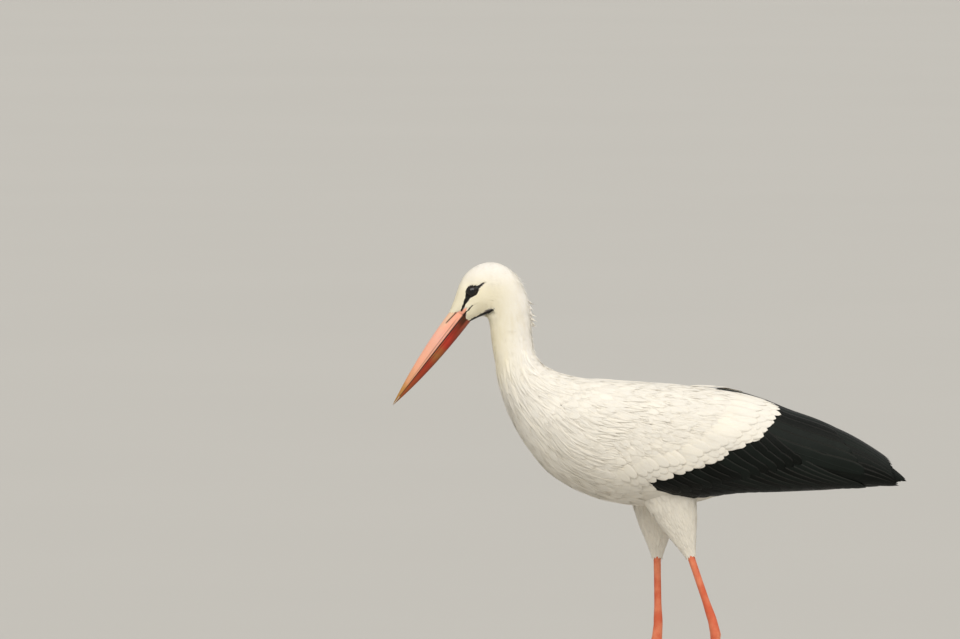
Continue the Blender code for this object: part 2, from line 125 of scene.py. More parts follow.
# Where the right wing's uppermost tertials show before the edge of the white
TERTIAL_EDGE = ((0.36, -0.30), (0.40, 0.02), (0.48, 0.09), (0.59, 0.15))
BACK_TIPS = np.linspace(-0.13, 0.14, 9)  # where across the right wing the white feathers over them end
SIDES = {"left": 1.0, "right": -1.0}  # wings are worked out on the left and mirrored for the right

# Swellings and hollows of the head: (x, z, reach, height)
HEAD_FORM = (
    (-0.2800, 0.7560, 0.0080, -0.0012),  # hollow before and above the eye
    (-0.2640, 0.7640, 0.0090, 0.0007),  # brow
    (-0.2560, 0.7300, 0.0120, 0.0012),  # cheek
    (-0.2780, 0.7270, 0.0050, -0.0006),  # between lores and gape
    (-0.2350, 0.7560, 0.0160, 0.0006),  # behind the eye
)

EYE = (-0.2722, 0.0172, 0.7425)
EYE_RADIUS, EYE_OPENING, PUPIL = 0.0095, 0.0066, (0.0042, 0.0034)
LID_WIDTH, LID_SLANT, LID_STRETCH = 0.0019, math.radians(38.0), 1.16

BILL_BASE = np.array((-0.2870, 0.0, 0.7030))
BILL_TIP = np.array((-0.3938, 0.0, 0.5665))
BILL_LINE = BILL_TIP - BILL_BASE
BILL_LENGTH = np.linalg.norm(BILL_LINE)
BILL_AHEAD = BILL_LINE / BILL_LENGTH
BILL_UP = np.array((BILL_AHEAD[2], 0.0, -BILL_AHEAD[0]))
ASIDE = np.array((0.0, 1.0, 0.0))
BILL_HALF_WIDTH, SIDE_CURVE = 0.0122, 1.15
# Halves of the bill: which way up, height at the base, power of its fall to the tip, share where it starts
BILL_HALVES = {"upper": (1.0, 0.0190, 1.9, -0.045), "lower": (-1.0, 0.0142, 2.3, -0.030)}
GAPE_LIFT = 0.00035  # how far each half lies off the line between them

# Lines of the face on both sides of the head: the (x, z) of their points, and the half widths there
LORE = (
    (
        (-0.2545, 0.7552), (-0.2610, 0.7498), (-0.2722, 0.7430),
        (-0.2800, 0.7310), (-0.2855, 0.7190), (-0.2885, 0.7128),
    ),
    (0.0008, 0.0020, 0.0070, 0.0036, 0.0020, 0.0014),
)
GAPE = (((-0.2665, 0.7225), (-0.2720, 0.7195), (-0.2860, 0.7050)), (0.0004, 0.0010, 0.0010))
GULAR = (
    (
        (-0.2770, 0.6952), (-0.2700, 0.6990), (-0.2610, 0.7034),
        (-0.2530, 0.7072), (-0.2462, 0.7104), (-0.2374, 0.7160),
    ),
    (0.0016, 0.0020, 0.0022, 0.0026, 0.0028, 0.0006),
)
# The wedge of bare horn-coloured skin that runs back from the bill to the corner of the gape
HORN_WEDGE = (((-0.2901, 0.7030), (-0.2801, 0.7174)), (0.0095, 0.0))

TIBIA_LENGTH, TARSUS_LENGTH = 0.232, 0.214
KNEE_HEIGHT, TOE_JOINT_HEIGHT = 0.444, 0.0105
KNEE_SPREAD, FOOT_SPREAD = 0.034, 0.042
# The tail's upper and under faces: which way up, and the (x, z) of a root and a tip on the midline
TAIL_FACES = {
    "upper": (1, (0.2120, 0.5340), (0.3735, 0.4520)),
    "under": (-1, (0.2360, 0.4825), (0.3725, 0.4492)),
}
# Legs: sign of y, x of the knee, x of the toe joint
LEGS = {"left": (-1, 0.026, 0.092), "right": (1, 0.010, -0.058)}
# Radii of the leg at distances from the knee: the thigh, and the flare of the belly's feathers over it
THIGH_PROFILE = (
    (0.0, 0.0400), (0.028, 0.0370), (0.058, 0.0285),
    (0.084, 0.0185), (0.102, 0.0115), (0.114, 0.0076),
)
HIP_PROFILE = (
    (-0.024, 0.0560), (-0.008, 0.0485), (0.010, 0.0415),
    (0.028, 0.0376), (0.050, 0.0312), (0.070, 0.0240),
)
# The bare shank's, and then the ankle's and the tarsus's at distances from the ankle
SHANK_PROFILE = (
    (0.020, 0.0120), (0.085, 0.0068), (0.110, 0.0057),
    (0.139, 0.0055), (0.186, 0.0057), (0.209, 0.0070),
)
ANKLE_PROFILE = ((-0.010, 0.0086), (0.000, 0.0088), (0.010, 0.0080), (0.024, 0.0064), (0.047, 0.0055))
TARSUS_PROFILE = ANKLE_PROFILE + ((0.150, 0.0050), (0.193, 0.0055), (0.208, 0.0064))
THIGH_FLATNESS, SHIN_FLATNESS = 0.56, 0.90
BARE_LEG_TOP = (0.352, 0.342)  # heights between which the leg turns red
# Toes: degrees out from ahead, length, radius at root and tip, number of joints
TOES = {
    "inner": (-36, 0.048, 0.0046, 0.0034, 2),
    "middle": (0, 0.066, 0.0050, 0.0035, 3),
    "outer": (35, 0.054, 0.0046, 0.0033, 3),
    "hind": (168, 0.024, 0.0040, 0.0031, 1),
}
TOE_START, HIND_TOE_START, TOE_SINK, HIND_TOE_RISE = 0.0160, 0.0070, 0.86, 0.0040
CLAW_LENGTH, WEB_REACH = 0.0095, 0.0125
SKIN_VOXEL, TAIL_NARROWING = 0.0011, 0.65
# How finely the skin is meshed: rings on the head, behind it and down a bone, and points round each
HEAD_RINGS, BODY_RINGS, BONE_RINGS = 150, 120, 60
BODY_ROUND, LEG_ROUND, TOE_ROUND = 120, 28, 20
# Inner sections of the flight feathers, of the tail feathers and of the feathers at the edge of the white
FLIGHT_ROWS, TAIL_ROWS, EDGE_ROWS = 34, 24, 9


# ---- meshes from arrays ----


def volume_of(points, faces):
    """Signed volume: the sum of each corner fan's a . (b x c) / 6, positive where faces point outwards."""
    first = points[faces[:, 0]]
    total = 0.0
    for k in range(1, faces.shape[1] - 1):
        total += np.einsum("ij,ij->", first, np.cross(points[faces[:, k]], points[faces[:, k + 1]]))
    return total / 6


def store_numbers(mesh, values):
    """Keeps named numbers on a mesh's points, where its material reads them."""
    for name, numbers in values.items():
        layer = mesh.attributes.new(name, "FLOAT", "POINT")
        layer.data.foreach_set("value", np.asarray(numbers, np.float32).ravel())


def make_piece(name, points, groups, material=None, maps=None, values=None, turn=None):
    """An object from points and a list of face arrays; maps are UV maps and values are attributes."""
    points = np.asarray(points, np.float64).reshape(-1, 3)
    groups = [np.asarray(faces) for faces in groups if len(faces)]
    if turn is None:
        turn = sum(volume_of(points, faces) for faces in groups) < 0
    if turn:
        groups = [faces[:, ::-1] for faces in groups]
    corners = np.concatenate([faces.ravel() for faces in groups]).astype(np.int32)
    sizes = np.concatenate([np.full(len(faces), faces.shape[1]) for faces in groups])
    starts = np.concatenate([[0], np.cumsum(sizes)[:-1]]).astype(np.int32)
    mesh = bpy.data.meshes.new(name)
    mesh.vertices.add(len(points))
    mesh.vertices.foreach_set("co", points.astype(np.float32).ravel())
    mesh.loops.add(len(corners))
    mesh.polygons.add(len(sizes))
    mesh.polygons.foreach_set("loop_start", starts)
    mesh.polygons.foreach_set("vertices", corners)
    for map_name, spots in (maps or {}).items():
        layer = mesh.uv_layers.new(name=map_name)
        layer.uv.foreach_set("vector", np.asarray(spots, np.float32).reshape(-1, 2)[corners].ravel())
    store_numbers(mesh, values or {})
    mesh.update(calc_edges=True)
    mesh.shade_smooth()
    if material:
        mesh.materials.append(material)
    obj = bpy.data.objects.new(name, mesh)
    bpy.context.scene.collection.objects.link(obj)
    return obj


def tube_faces(count, around):
    """Faces of a tube of rings, and a fan at each end to one of the two points that follow the rings'."""
    i, j = np.meshgrid(np.arange(count - 1), np.arange(around), indexing="ij")
    k = (j + 1) % around
    corners = (i * around + j, i * around + k, (i + 1) * around + k, (i + 1) * around + j)
    j = np.arange(around)
    k = (j + 1) % around
    start, end = np.full(around, count * around), np.full(around, count * around + 1)
    last = (count - 1) * around
    fans = np.concatenate([np.stack([start, k, j], -1), np.stack([end, last + j, last + k], -1)])
    return [np.stack(corners, -1).reshape(-1, 4), fans]


def closed_tube(rings):
    """Points and faces of a tube of rings whose ends are closed by fans to their middles."""
    points = np.concatenate([rings.reshape(-1, 3), rings[0].mean(0)[None], rings[-1].mean(0)[None]])
    return points, tube_faces(*rings.shape[:2])


def joined(shells):
    """The points and the face groups of several shells as one."""
    points, groups, base = [], [], 0
    for shell, faces in shells:
        points.append(shell)
        groups += [np.asarray(group) + base for group in faces]
        base += len(shell)
    return np.concatenate(points), groups


def round_angles(count):
    """Even angles round a full turn."""
    return np.linspace(0, FULL_TURN, count, endpoint=False)


def ball_grid(rows, around):
    """Rings of a unit ball from pole to pole: (sin a cos b, sin a sin b, cos a)."""
    a, b = np.linspace(0.02, math.pi - 0.02, rows)[:, None], round_angles(around)
    return np.stack([np.sin(a) * np.cos(b), np.sin(a) * np.sin(b), np.cos(a) + 0 * b], -1)


def placed(points, placing):
    """Points turned and moved by a placing."""
    matrix = np.array(placing)
    return points @ matrix[:3, :3].T + matrix[:3, 3]


# ---- surfaces ----


def smooth_rows(rows, places):
    """Rows at places between rows: with b and c the rows either side and a and d the next ones out,
    b + t/2 (c - a + t (2a - 5b + 4c - d + t (3 (b - c) + d - a))), the Catmull-Rom cubic. Beyond the
    first and last rows it goes straight on."""
    rows = np.asarray(rows, float)
    asked, places = places, np.clip(places, 0, len(rows) - 1)
    padded = np.vstack([2 * rows[0] - rows[1], rows, 2 * rows[-1] - rows[-2]])
    i = np.minimum(places.astype(int), len(rows) - 2)
    t = (places - i)[..., None]
    a, b, c, d = (padded[i + k] for k in range(4))
    smooth = b + 0.5 * t * (c - a + t * (2 * a - 5 * b + 4 * c - d + t * (3 * (b - c) + d - a)))
    over = (asked - places)[..., None]
    return smooth + np.where(over < 0, over * (rows[1] - rows[0]), over * (rows[-1] - rows[-2]))


def ring_points(rows, angles, grow):
    """Points of superellipses between a back and a front point: middle + reach |cos|^p, width |sin|^p."""
    back, front = rows[..., 0:2], rows[..., 2:4]
    middle, reach = (back + front) / 2, (back - front) / 2
    length = np.linalg.norm(reach, axis=-1, keepdims=True)
    reach = reach * (1 + np.asarray(grow)[..., None] / length)
    up, out = np.cos(angles), np.sin(angles)
    up = np.sign(up) * np.abs(up) ** (2 / RING_POWER)
    out = np.sign(out) * np.abs(out) ** (2 / RING_POWER)
    across = -(rows[..., 4] + grow) * out
    return np.stack([middle[..., 0] + reach[..., 0] * up, across, middle[..., 1] + reach[..., 1] * up], -1)


def body_surface(place, angle, grow):
    """The plumage's outer face on the head, neck, trunk and tail, grown outwards."""
    place, angle, grow = np.broadcast_arrays(place, angle, grow)
    rows = smooth_rows(BODY_ROWS, place)
    return ring_points(rows, angle, grow + head_form(ring_points(rows, angle, 0.0)))


def head_form(points):
    """Soft swellings and hollows of the head: each is a height times exp(-(distance / reach)^2)."""
    total = np.zeros(points.shape[:-1])
    beside = soft_step(0.004, 0.012, np.abs(points[..., 1]))
    for x, z, reach, height in HEAD_FORM:
        away = ((points[..., 0] - x) ** 2 + (points[..., 2] - z) ** 2) / reach**2
        total += height * np.exp(-away) * beside
    return total


def skin_surface(place, angle, grow):
    """The skin under the plumage: the outer face sunk by the coat's depth."""
    place, angle, grow = np.broadcast_arrays(place, angle, grow)
    return body_surface(place, angle, grow - smooth_rows(COAT_DEPTH, place)[..., 0])


def wing_share(place):
    """A place along the body as a share of the folded wing's length."""
    return (place - PLACE["shoulders"] - WING_START) / (WING_END - WING_START)


def degrees_from_back(angle):
    """How far round from the back line an angle is, on either side."""
    return np.degrees(np.minimum(angle % FULL_TURN, FULL_TURN - angle % FULL_TURN))


def draped_surface(place, angle, grow):
    """The body's outer face with the front of the folded wings under it, so plumes can lie over them."""
    place, angle, grow = np.broadcast_arrays(place, angle, grow)
    length_share = wing_share(place)
    edges = smooth_rows(WING_EDGES, np.clip(length_share, 0, 1) * (len(WING_EDGES) - 1))
    width_share = (degrees_from_back(angle) - edges[..., 0]) / (edges[..., 1] - edges[..., 0])
    inside = soft_step(-0.25, 0.05, width_share) * soft_step(1.3, 0.95, width_share)
    under = wing_thickness(np.clip(length_share, 0, 1), np.clip(width_share, 0.05, 0.95))
    front = soft_step(-0.06, 0.03, length_share) * soft_step(0.38, 0.24, length_share)
    return body_surface(place, angle, grow + under * inside * front)


def wing_thickness(length_share, width_share):
    """Thick in the middle, thin at the rim and towards the tip."""
    inside = np.clip(width_share * (1 - width_share), 0, 1) * 4
    nose = np.clip(length_share / WING_NOSE, 0, 1)
    rim = inside * np.sqrt(1 - (1 - nose) ** 2) * (1 - np.clip(length_share, 0, 1) ** 3)
    return BED_CLEARANCE + WING_EDGE + (WING_THICKNESS - WING_EDGE) * np.sqrt(rim)


def wing_edges(length_share):
    """A folded wing's upper and lower edges, in degrees from the back line, drawn in to a round nose."""
    edges = smooth_rows(WING_EDGES, length_share * (len(WING_EDGES) - 1))
    nose = np.clip(length_share / WING_NOSE + 0.02, 0.02, 1)
    return WING_BEND + (edges - WING_BEND) * np.sqrt(1 - (1 - nose) ** 2)[..., None]


def wing_surface(side):
    """The outer face of a folded wing, at shares of its length and width, grown outwards."""

    def surface(length_share, width_share, grow):
        length_share, width_share, grow = np.broadcast_arrays(length_share, width_share, grow)
        row = smooth_rows(WING_BED, WING_START + length_share * (WING_END - WING_START))
        edges = wing_edges(length_share)
        angle = np.radians(edges[..., 0] + (edges[..., 1] - edges[..., 0]) * width_share)
        points = ring_points(row, angle, wing_thickness(length_share, width_share) + grow)
        return points * (1.0, SIDES[side], 1.0)

    return surface


def along_bone(start, direction, hint):
    """The placing that puts local Z along a direction and local X near a hinted one."""
    z = Vector(direction).normalized()
    y = z.cross(Vector(hint)).normalized()
    placing = Matrix((y.cross(z), y, z)).transposed().to_4x4()
    placing.translation = start
    return placing


def two_bones(start, end, first, second):
    """The joint between two bones of known length that reach from start to end, bent towards the tail."""
    line = end - start
    reach = np.linalg.norm(line)
    along = (first**2 - second**2 + reach**2) / (2 * reach)
    aside = math.sqrt(first**2 - along**2)
    line = line / reach
    return start + along * line + aside * np.array([-line[2], 0.0, line[0]])


def turned_surface(placing, profile, flatness):
    """A limb's surface at distances along its bone and angles round it, grown outwards."""
    distances, radii = np.array(profile).T

    def surface(distance, angle, grow):
        distance, angle, grow = np.broadcast_arrays(distance, angle, grow)
        radius = np.interp(distance, distances, radii)
        ahead, aside = radius + grow, radius * flatness + grow
        return placed(np.stack([ahead * np.cos(angle), aside * np.sin(angle), distance], -1), placing)

    return surface


def distance_to_line(x, z, line, widths=None):
    """How far points are from a line of (x, z) points, less the line's own half width there."""
    best = np.full(np.shape(x), 1e3)
    widths = widths or [0.0] * len(line)
    for (ax, az), (bx, bz), wa, wb in zip(line, line[1:], widths, widths[1:]):
        t = ((x - ax) * (bx - ax) + (z - az) * (bz - az)) / ((bx - ax) ** 2 + (bz - az) ** 2)
        t = np.clip(t, 0, 1)
        gap = np.hypot(x - ax - t * (bx - ax), z - az - t * (bz - az)) - wa - t * (wb - wa)
        best = np.minimum(best, gap)
    return best


def soft_step(low, high, value):
    """0 below low, 1 above high, and 3t^2 - 2t^3 between."""
    t = np.clip((value - low) / (high - low), 0, 1)
    return t * t * (3 - 2 * t)


# ---- materials ----


class Signal:
    """A shader value that adds Math nodes as it is calculated with."""

    def __init__(self, tree, socket):
        self.tree, self.socket = tree, socket

    def math(self, operation, first, second=None, third=None):
        node = self.tree.nodes.new("ShaderNodeMath")
        node.operation = operation
        for slot, value in enumerate((first, second, third)):
            if isinstance(value, Signal):
                self.tree.links.new(value.socket, node.inputs[slot])
            elif value is not None:
                node.inputs[slot].default_value = value
        return Signal(self.tree, node.outputs[0])

    def __add__(self, other):
        return self.math("ADD", self, other)

    def __sub__(self, other):
        return self.math("SUBTRACT", self, other)

    def __rsub__(self, other):
        return self.math("SUBTRACT", other, self)

    def __mul__(self, other):
        return self.math("MULTIPLY", self, other)

    def __truediv__(self, other):
        return self.math("DIVIDE", self, other)

    __radd__, __rmul__ = __add__, __mul__

    def __abs__(self):
        return self.math("ABSOLUTE", self)

    def power(self, exponent):
        return self.math("POWER", self, exponent)

    def sine(self):
        return self.math("SINE", self)

    def step(self, low, high):
        """0 below low and 1 above high, or the other way round where low is the larger."""
        scaled = (self - low) / (high - low)
        clamped = self.math("MINIMUM", self.math("MAXIMUM", scaled, 0.0), 1.0)
        return clamped * clamped * (3 - 2 * clamped)


class Finish:
    """A material under construction: its tree, its Principled BSDF and what nodes it needs."""

    def __init__(self, name, roughness, **uniform):
        self.material = bpy.data.materials.new(name)
        self.material.use_nodes = True
        self.tree = self.material.node_tree
        self.shader = self.tree.nodes["Principled BSDF"]
        self.shader.inputs["Roughness"].default_value = roughness
        for socket, value in uniform.items():
            self.shader.inputs[socket.replace("_", " ")].default_value = value

    def node(self, kind, settings=None, inputs=None, output=0):
        """A node of a kind, with its settings made first, then its sockets set or linked."""
        node = self.tree.nodes.new(kind)
        for setting, value in (settings or {}).items():
            if setting == "stops":
                ramp = node.color_ramp
                while len(ramp.elements) < len(value):
                    ramp.elements.new(0.5)
                for element, (position, colour) in zip(ramp.elements, value):
                    element.position = position
                    element.color = (*colour, 1.0)
            else:
                setattr(node, setting, value)
        for socket, value in (inputs or {}).items():
            if isinstance(value, Signal):
                self.tree.links.new(value.socket, node.inputs[socket])
            else:
                node.inputs[socket].default_value = value
        return Signal(self.tree, node.outputs[output])

    def place(self):
        return self.node("ShaderNodeTexCoord", output="Object")

    def axes(self, vector):
        node = self.tree.nodes.new("ShaderNodeSeparateXYZ")
        self.tree.links.new(vector.socket, node.inputs[0])
        return [Signal(self.tree, out) for out in node.outputs]

    def uv(self, name):
        return self.node("ShaderNodeUVMap", {"uv_map": name})

    def value(self, name):
        return self.node("ShaderNodeAttribute", {"attribute_name": name}, output="Fac")

    def noise(self, vector, scale, detail=3.0, roughness=0.5):
        inputs = {"Vector": vector, "Scale": scale, "Detail": detail, "Roughness": roughness}
        return self.node("ShaderNodeTexNoise", None, inputs, "Fac")

    def stretched(self, vector, scale):
        return self.node("ShaderNodeMapping", None, {"Vector": vector, "Scale": scale})

    def mix(self, factor, first, second):
        """A colour between two colours, each a tuple or a signal."""
        first = (*first, 1.0) if isinstance(first, tuple) else first
        second = (*second, 1.0) if isinstance(second, tuple) else second
        return self.node("ShaderNodeMix", {"data_type": "RGBA"}, {0: factor, 6: first, 7: second}, 2)

    def colour(self, signal):
        self.tree.links.new(signal.socket, self.shader.inputs["Base Color"])

    def rough(self, signal):
        self.tree.links.new(signal.socket, self.shader.inputs["Roughness"])

    def relief(self, height, distance, strength=1.0):
        inputs = {"Height": height, "Distance": distance, "Strength": strength}
        bump = self.node("ShaderNodeBump", None, inputs)
        self.tree.links.new(bump.socket, self.shader.inputs["Normal"])


# Colours of the bill from base to tip
UPPER_HORN = (
    (0.00, (0.88, 0.40, 0.27)),
    (0.30, (0.80, 0.41, 0.31)),
    (0.62, (0.76, 0.37, 0.23)),
    (0.82, (0.46, 0.225, 0.065)),
    (1.00, (0.27, 0.155, 0.032)),
)
# Near black at the base as painted shadow under the chin, and olive at 0.40 as a painted reflection
LOWER_HORN_WITH_PAINTED_SHADE = (
    (0.00, (0.06, 0.016, 0.005)),
    (0.09, (0.18, 0.026, 0.010)),
    (0.30, (0.44, 0.036, 0.020)),
    (0.40, (0.32, 0.125, 0.035)),
    (0.54, (0.34, 0.038, 0.018)),
    (0.85, (0.29, 0.080, 0.020)),
    (1.00, (0.23, 0.120, 0.028)),
)
# WARM_PAINTED_SHADE is painted shade, laid on at the feathers' roots, towards the underside and in streaks
# down the neck
WHITE, CREAM, WARM_PAINTED_SHADE = (0.925, 0.893, 0.838), (0.89, 0.835, 0.725), (0.76, 0.67, 0.49)
# Cream of the face and foreneck: partly the feathers' own tint, partly painted shade and warm reflected light
# on the side away from the light
FACE_CREAM_AND_PAINTED_SHADE = (0.94, 0.85, 0.56)
# The body's white, darker than the head's: painted shade against the stronger light on the back
BODY_WHITE_PAINTED_SHADE = (0.755, 0.718, 0.645)
# BLACK_PAINTED_SHEEN is a painted sheen, laid on the black in random patches
BLACK, BLACK_PAINTED_SHEEN = (0.002, 0.003, 0.002), (0.006, 0.009, 0.007)


def white_plumage(name):
    """Warm white vanes: a little painted shade at the root, creamier feathers here and there, a body white
    darker than the head's as painted shade, painted shade towards the underside and in streaks down the
    neck, and cream on the face and foreneck that is partly their own tint, partly painted shade; fine barbs."""
    finish = Finish(name, 0.78, Subsurface_Weight=0.12, Subsurface_Scale=0.005, Specular_IOR_Level=0.25)
    finish.shader.inputs["Subsurface Radius"].default_value = (1.0, 0.8, 0.6)
    across, along, _ = finish.axes(finish.uv("Vane"))
    own = finish.value("own")
    ahead, _, height = finish.axes(finish.place())
    root = finish.value("reach").step(0.75, 0.1)
    patches = finish.noise(finish.place(), 22.0)
    tone = own * 0.55 + patches * 0.7 - 0.35
    # Painted shade: a darker white on the body than on the head
    base = finish.mix(height.step(0.66, 0.60), WHITE, BODY_WHITE_PAINTED_SHADE)
    base = finish.mix(tone.step(0.0, 1.0) * 0.8, base, CREAM)
    # Painted shade at the roots, where the feathers lie under others
    base = finish.mix(root * 0.18, base, WARM_PAINTED_SHADE)
    # Painted shade and warm reflected light, growing towards the underside
    base = finish.mix(height.step(0.62, 0.42) * 0.20, base, WARM_PAINTED_SHADE)
    # Painted shade in streaks down the neck, like shadow lines between its strands
    streaks = finish.noise(finish.stretched(finish.place(), (110.0, 110.0, 18.0)), 1.0, 2.0)
    streaked = streaks.step(0.48, 0.70) * height.step(0.57, 0.65) * height.step(0.735, 0.700)
    base = finish.mix(streaked * 0.30, base, WARM_PAINTED_SHADE)
    # Partly own cream tint, partly painted shade and warm reflected light on the face and foreneck
    face = ahead.step(-0.180, -0.245) * height.step(0.785, 0.735) * height.step(0.56, 0.66)
    base = finish.mix(face * (0.45 + patches * 0.3), base, FACE_CREAM_AND_PAINTED_SHADE)
    finish.colour(base)
    barbs = ((along * 9.0 + abs(across) * 6.0) * 100.0).sine()
    shaft = abs(across).step(0.05, 0.0)
    finish.relief(barbs * 0.12 + shaft, 0.0004, 0.4)
    return finish.material


def black_plumage(name):
    """Black flight feathers: patches of painted green-grey sheen, edges paler from wear and a painted
    highlight, fine barbs.
    """
    finish = Finish(name, 0.45, Specular_IOR_Level=0.12)
    across, along, _ = finish.axes(finish.uv("Vane"))
    own = finish.value("own")
    edge = abs(across).step(0.75, 1.0)
    patches = finish.noise(finish.stretched(finish.place(), (30.0, 30.0, 30.0)), 1.0)
    # Painted sheen: random patches of a green-grey black
    base = finish.mix((own * 0.5 + patches * 0.5).step(0.3, 0.8), BLACK, BLACK_PAINTED_SHEEN)
    # Paler edges: partly wear, partly a painted highlight where the edges catch the light
    base = finish.mix(edge * 0.4, base, (0.030, 0.027, 0.023))
    finish.colour(base)
    finish.rough(own * 0.14 + 0.38)
    barbs = ((along * 9.0 + abs(across) * 0.8) * 100.0).sine()
    shaft = abs(across).step(0.07, 0.02)
    finish.relief(barbs * 0.15 + shaft, 0.0006, 0.5)
    return finish.material


def skin_finish():
    """White under the plumage, black on the lores, eyelids and throat line, the bill's base colours at
    the corners of the gape (below the gape the lower half's painted shadow), and red scaly legs."""
    finish = Finish("skin", 0.62, Subsurface_Weight=0.08, Subsurface_Scale=0.004, Specular_IOR_Level=0.25)
    place = finish.place()
    _, _, height = finish.axes(place)
    leg = finish.value("leg")
    black = finish.value("black")
    grain = finish.noise(place, 260.0)
    blotch = finish.noise(place, 45.0)
    red = finish.mix(blotch.step(0.35, 0.7), (0.60, 0.120, 0.055), (0.72, 0.23, 0.12))
    red = finish.mix(height.step(0.03, 0.0) * 0.5, red, (0.30, 0.12, 0.09))
    plain = finish.mix(blotch, (0.80, 0.70, 0.62), (0.86, 0.80, 0.74))
    base = finish.mix(leg, plain, red)
    # Below the gape line, the lower half's base colour: painted shadow under the chin
    horn = finish.mix(finish.value("under"), UPPER_HORN[0][1], LOWER_HORN_WITH_PAINTED_SHADE[0][1])
    base = finish.mix(finish.value("horn"), base, horn)
    finish.colour(finish.mix(black, base, (0.008, 0.007, 0.006)))
    finish.rough(0.66 - black * 0.25 + grain * 0.1)
    edges = {"feature": "DISTANCE_TO_EDGE"}
    scutes = finish.node("ShaderNodeTexVoronoi", edges, {"Vector": place, "Scale": 300.0}, "Distance")
    finish.relief(scutes.step(0.0, 0.18) * leg + grain * 0.4, 0.0005, 0.7)
    return finish.material


def horn_finish(name, stops, ridge, belly):
    """Bill horn: colours that change from base to tip, cloudy and lengthways streaked, with a ridge
    of its own tone near the base, which on the upper half is a painted highlight, painted shade on the
    underside and in the grooves, and a satin shine."""
    finish = Finish(name, 0.42, Subsurface_Weight=0.1, Subsurface_Scale=0.003, Specular_IOR_Level=0.22)
    share, across, _ = finish.axes(finish.uv("Horn"))
    streaks = finish.noise(finish.stretched(finish.uv("Horn"), (6.0, 46.0, 1.0)), 1.0, 4.0, 0.6)
    cloud = finish.noise(finish.place(), 42.0, 2.0)
    fade = share + (cloud - 0.5) * 0.30 + (streaks - 0.5) * 0.12
    base = finish.node("ShaderNodeValToRGB", {"stops": stops}, {"Fac": fade})
    # A ridge of its own tone near the base; on the upper half it is a pale painted highlight where the ridge
    # faces the light
    top = abs(across - 0.5).step(0.37, 0.27) * share.step(0.30, 0.02) * 0.75
    base = finish.mix(top, base, ridge)
    base = finish.mix(streaks.step(0.50, 0.75) * 0.25, base, (0.30, 0.075, 0.035))
    # Painted shade along the underside, as strong as the belly share
    base = finish.mix(abs(across - 0.5).step(0.30, 0.0) * belly, base, (0.12, 0.035, 0.015))
    # Painted shade in the grooves
    base = finish.mix(finish.value("groove"), base, (0.030, 0.012, 0.008))
    finish.colour(base)
    finish.rough(streaks * 0.24 + 0.30)
    finish.relief(streaks + cloud * 0.5, 0.0006, 0.4)
    return finish.material


def eye_finish():
    """A dark brown eye with a black pupil under a wet, clear cornea."""
    finish = Finish("eye", 0.03, Specular_IOR_Level=0.45)
    x, _, z = finish.axes(finish.place())
    off_x, off_z = x - EYE[0], z - EYE[2]
    middle = (off_x * off_x + off_z * off_z).power(0.5)
    fibres = finish.noise(finish.place(), 900.0)
    iris = finish.mix(fibres, (0.003, 0.002, 0.001), (0.010, 0.005, 0.003))
    finish.colour(finish.mix(middle.step(*PUPIL), iris, (0.002, 0.002, 0.002)))
    return finish.material


def claw_finish():
    finish = Finish("claw", 0.4)
    grain = finish.noise(finish.stretched(finish.place(), (500.0, 500.0, 200.0)), 1.0)
    finish.colour(finish.mix(grain, (0.045, 0.022, 0.018), (0.16, 0.08, 0.06)))
    finish.relief(grain, 0.0002, 0.5)
    return finish.material


def mouth_painted_shade_finish():
    finish = Finish("mouth", 0.5)
    grain = finish.noise(finish.place(), 300.0)
    # Near black: painted shade in the gap between the halves of the bill
    finish.colour(finish.mix(grain, (0.030, 0.010, 0.008), (0.060, 0.018, 0.012)))
    return finish.material


# ---- feathers ----


def outline(full, rise, fall_start, fall_length, fall, blunt):
    """A vane's half width along its length t: min(1, t / full)^rise (1 - s^fall)^blunt, where s runs
    from 0 to 1 over the fall's length."""

    def form(t):
        s = np.clip((t - fall_start) / fall_length, 0, 1)
        return np.minimum(1, t / full) ** rise * (1 - s**fall) ** blunt

    return form


rounded = outline(0.35, 0.6, 0.0, 1.0, 3.2, 0.6)  # a body feather: quickly full, then a round tip
pointed = outline(0.25, 0.6, 0.0, 1.0, 1.7, 1.0)  # a plume that tapers to a point
strand = outline(0.15, 0.5, 0.0, 1.0, 1.3, 1.0)  # a wisp: slender from the root, tapering slowly
tufted = outline(0.20, 0.5, 0.0, 1.0, 2.8, 1.0)  # a soft tuft: quickly full, then a blunt point
blade = outline(0.08, 0.5, 0.82, 0.18, 2.4, 0.6)  # a flight feather: even width, then a rounded tip
quill = outline(0.08, 0.5, 0.62, 0.38, 2.0, 0.8)  # a primary: even width, then a long taper


def unit(vectors):
    return vectors / (np.linalg.norm(vectors, axis=-1, keepdims=True) + 1e-12)


def dot(first, second):
    return np.einsum("...i,...i->...", first, second)


def tangents(surface, u, v):
    """A surface's points, its two tangents from small differences, and its outward normals."""
    small = 1e-3
    here = surface(u, v, 0.0)
    ahead = (surface(u + small, v, 0.0) - surface(u - small, v, 0.0)) / (2 * small)
    aside = (surface(u, v + small, 0.0) - surface(u, v - small, 0.0)) / (2 * small)
    normal = unit(np.cross(ahead, aside))
    outwards = surface(u, v, small) - here
    return here, ahead, aside, normal * np.sign(dot(normal, outwards))[..., None]


def on_surface(ahead, aside, step):
    """A step in space as a change of the surface's two parameters, by the inverse of its metric."""
    aa, bb, ab = dot(ahead, ahead), dot(aside, aside), dot(ahead, aside)
    along, across = dot(step, ahead), dot(step, aside)
    area = aa * bb - ab * ab + 1e-14
    return (along * bb - across * ab) / area, (across * aa - along * ab) / area


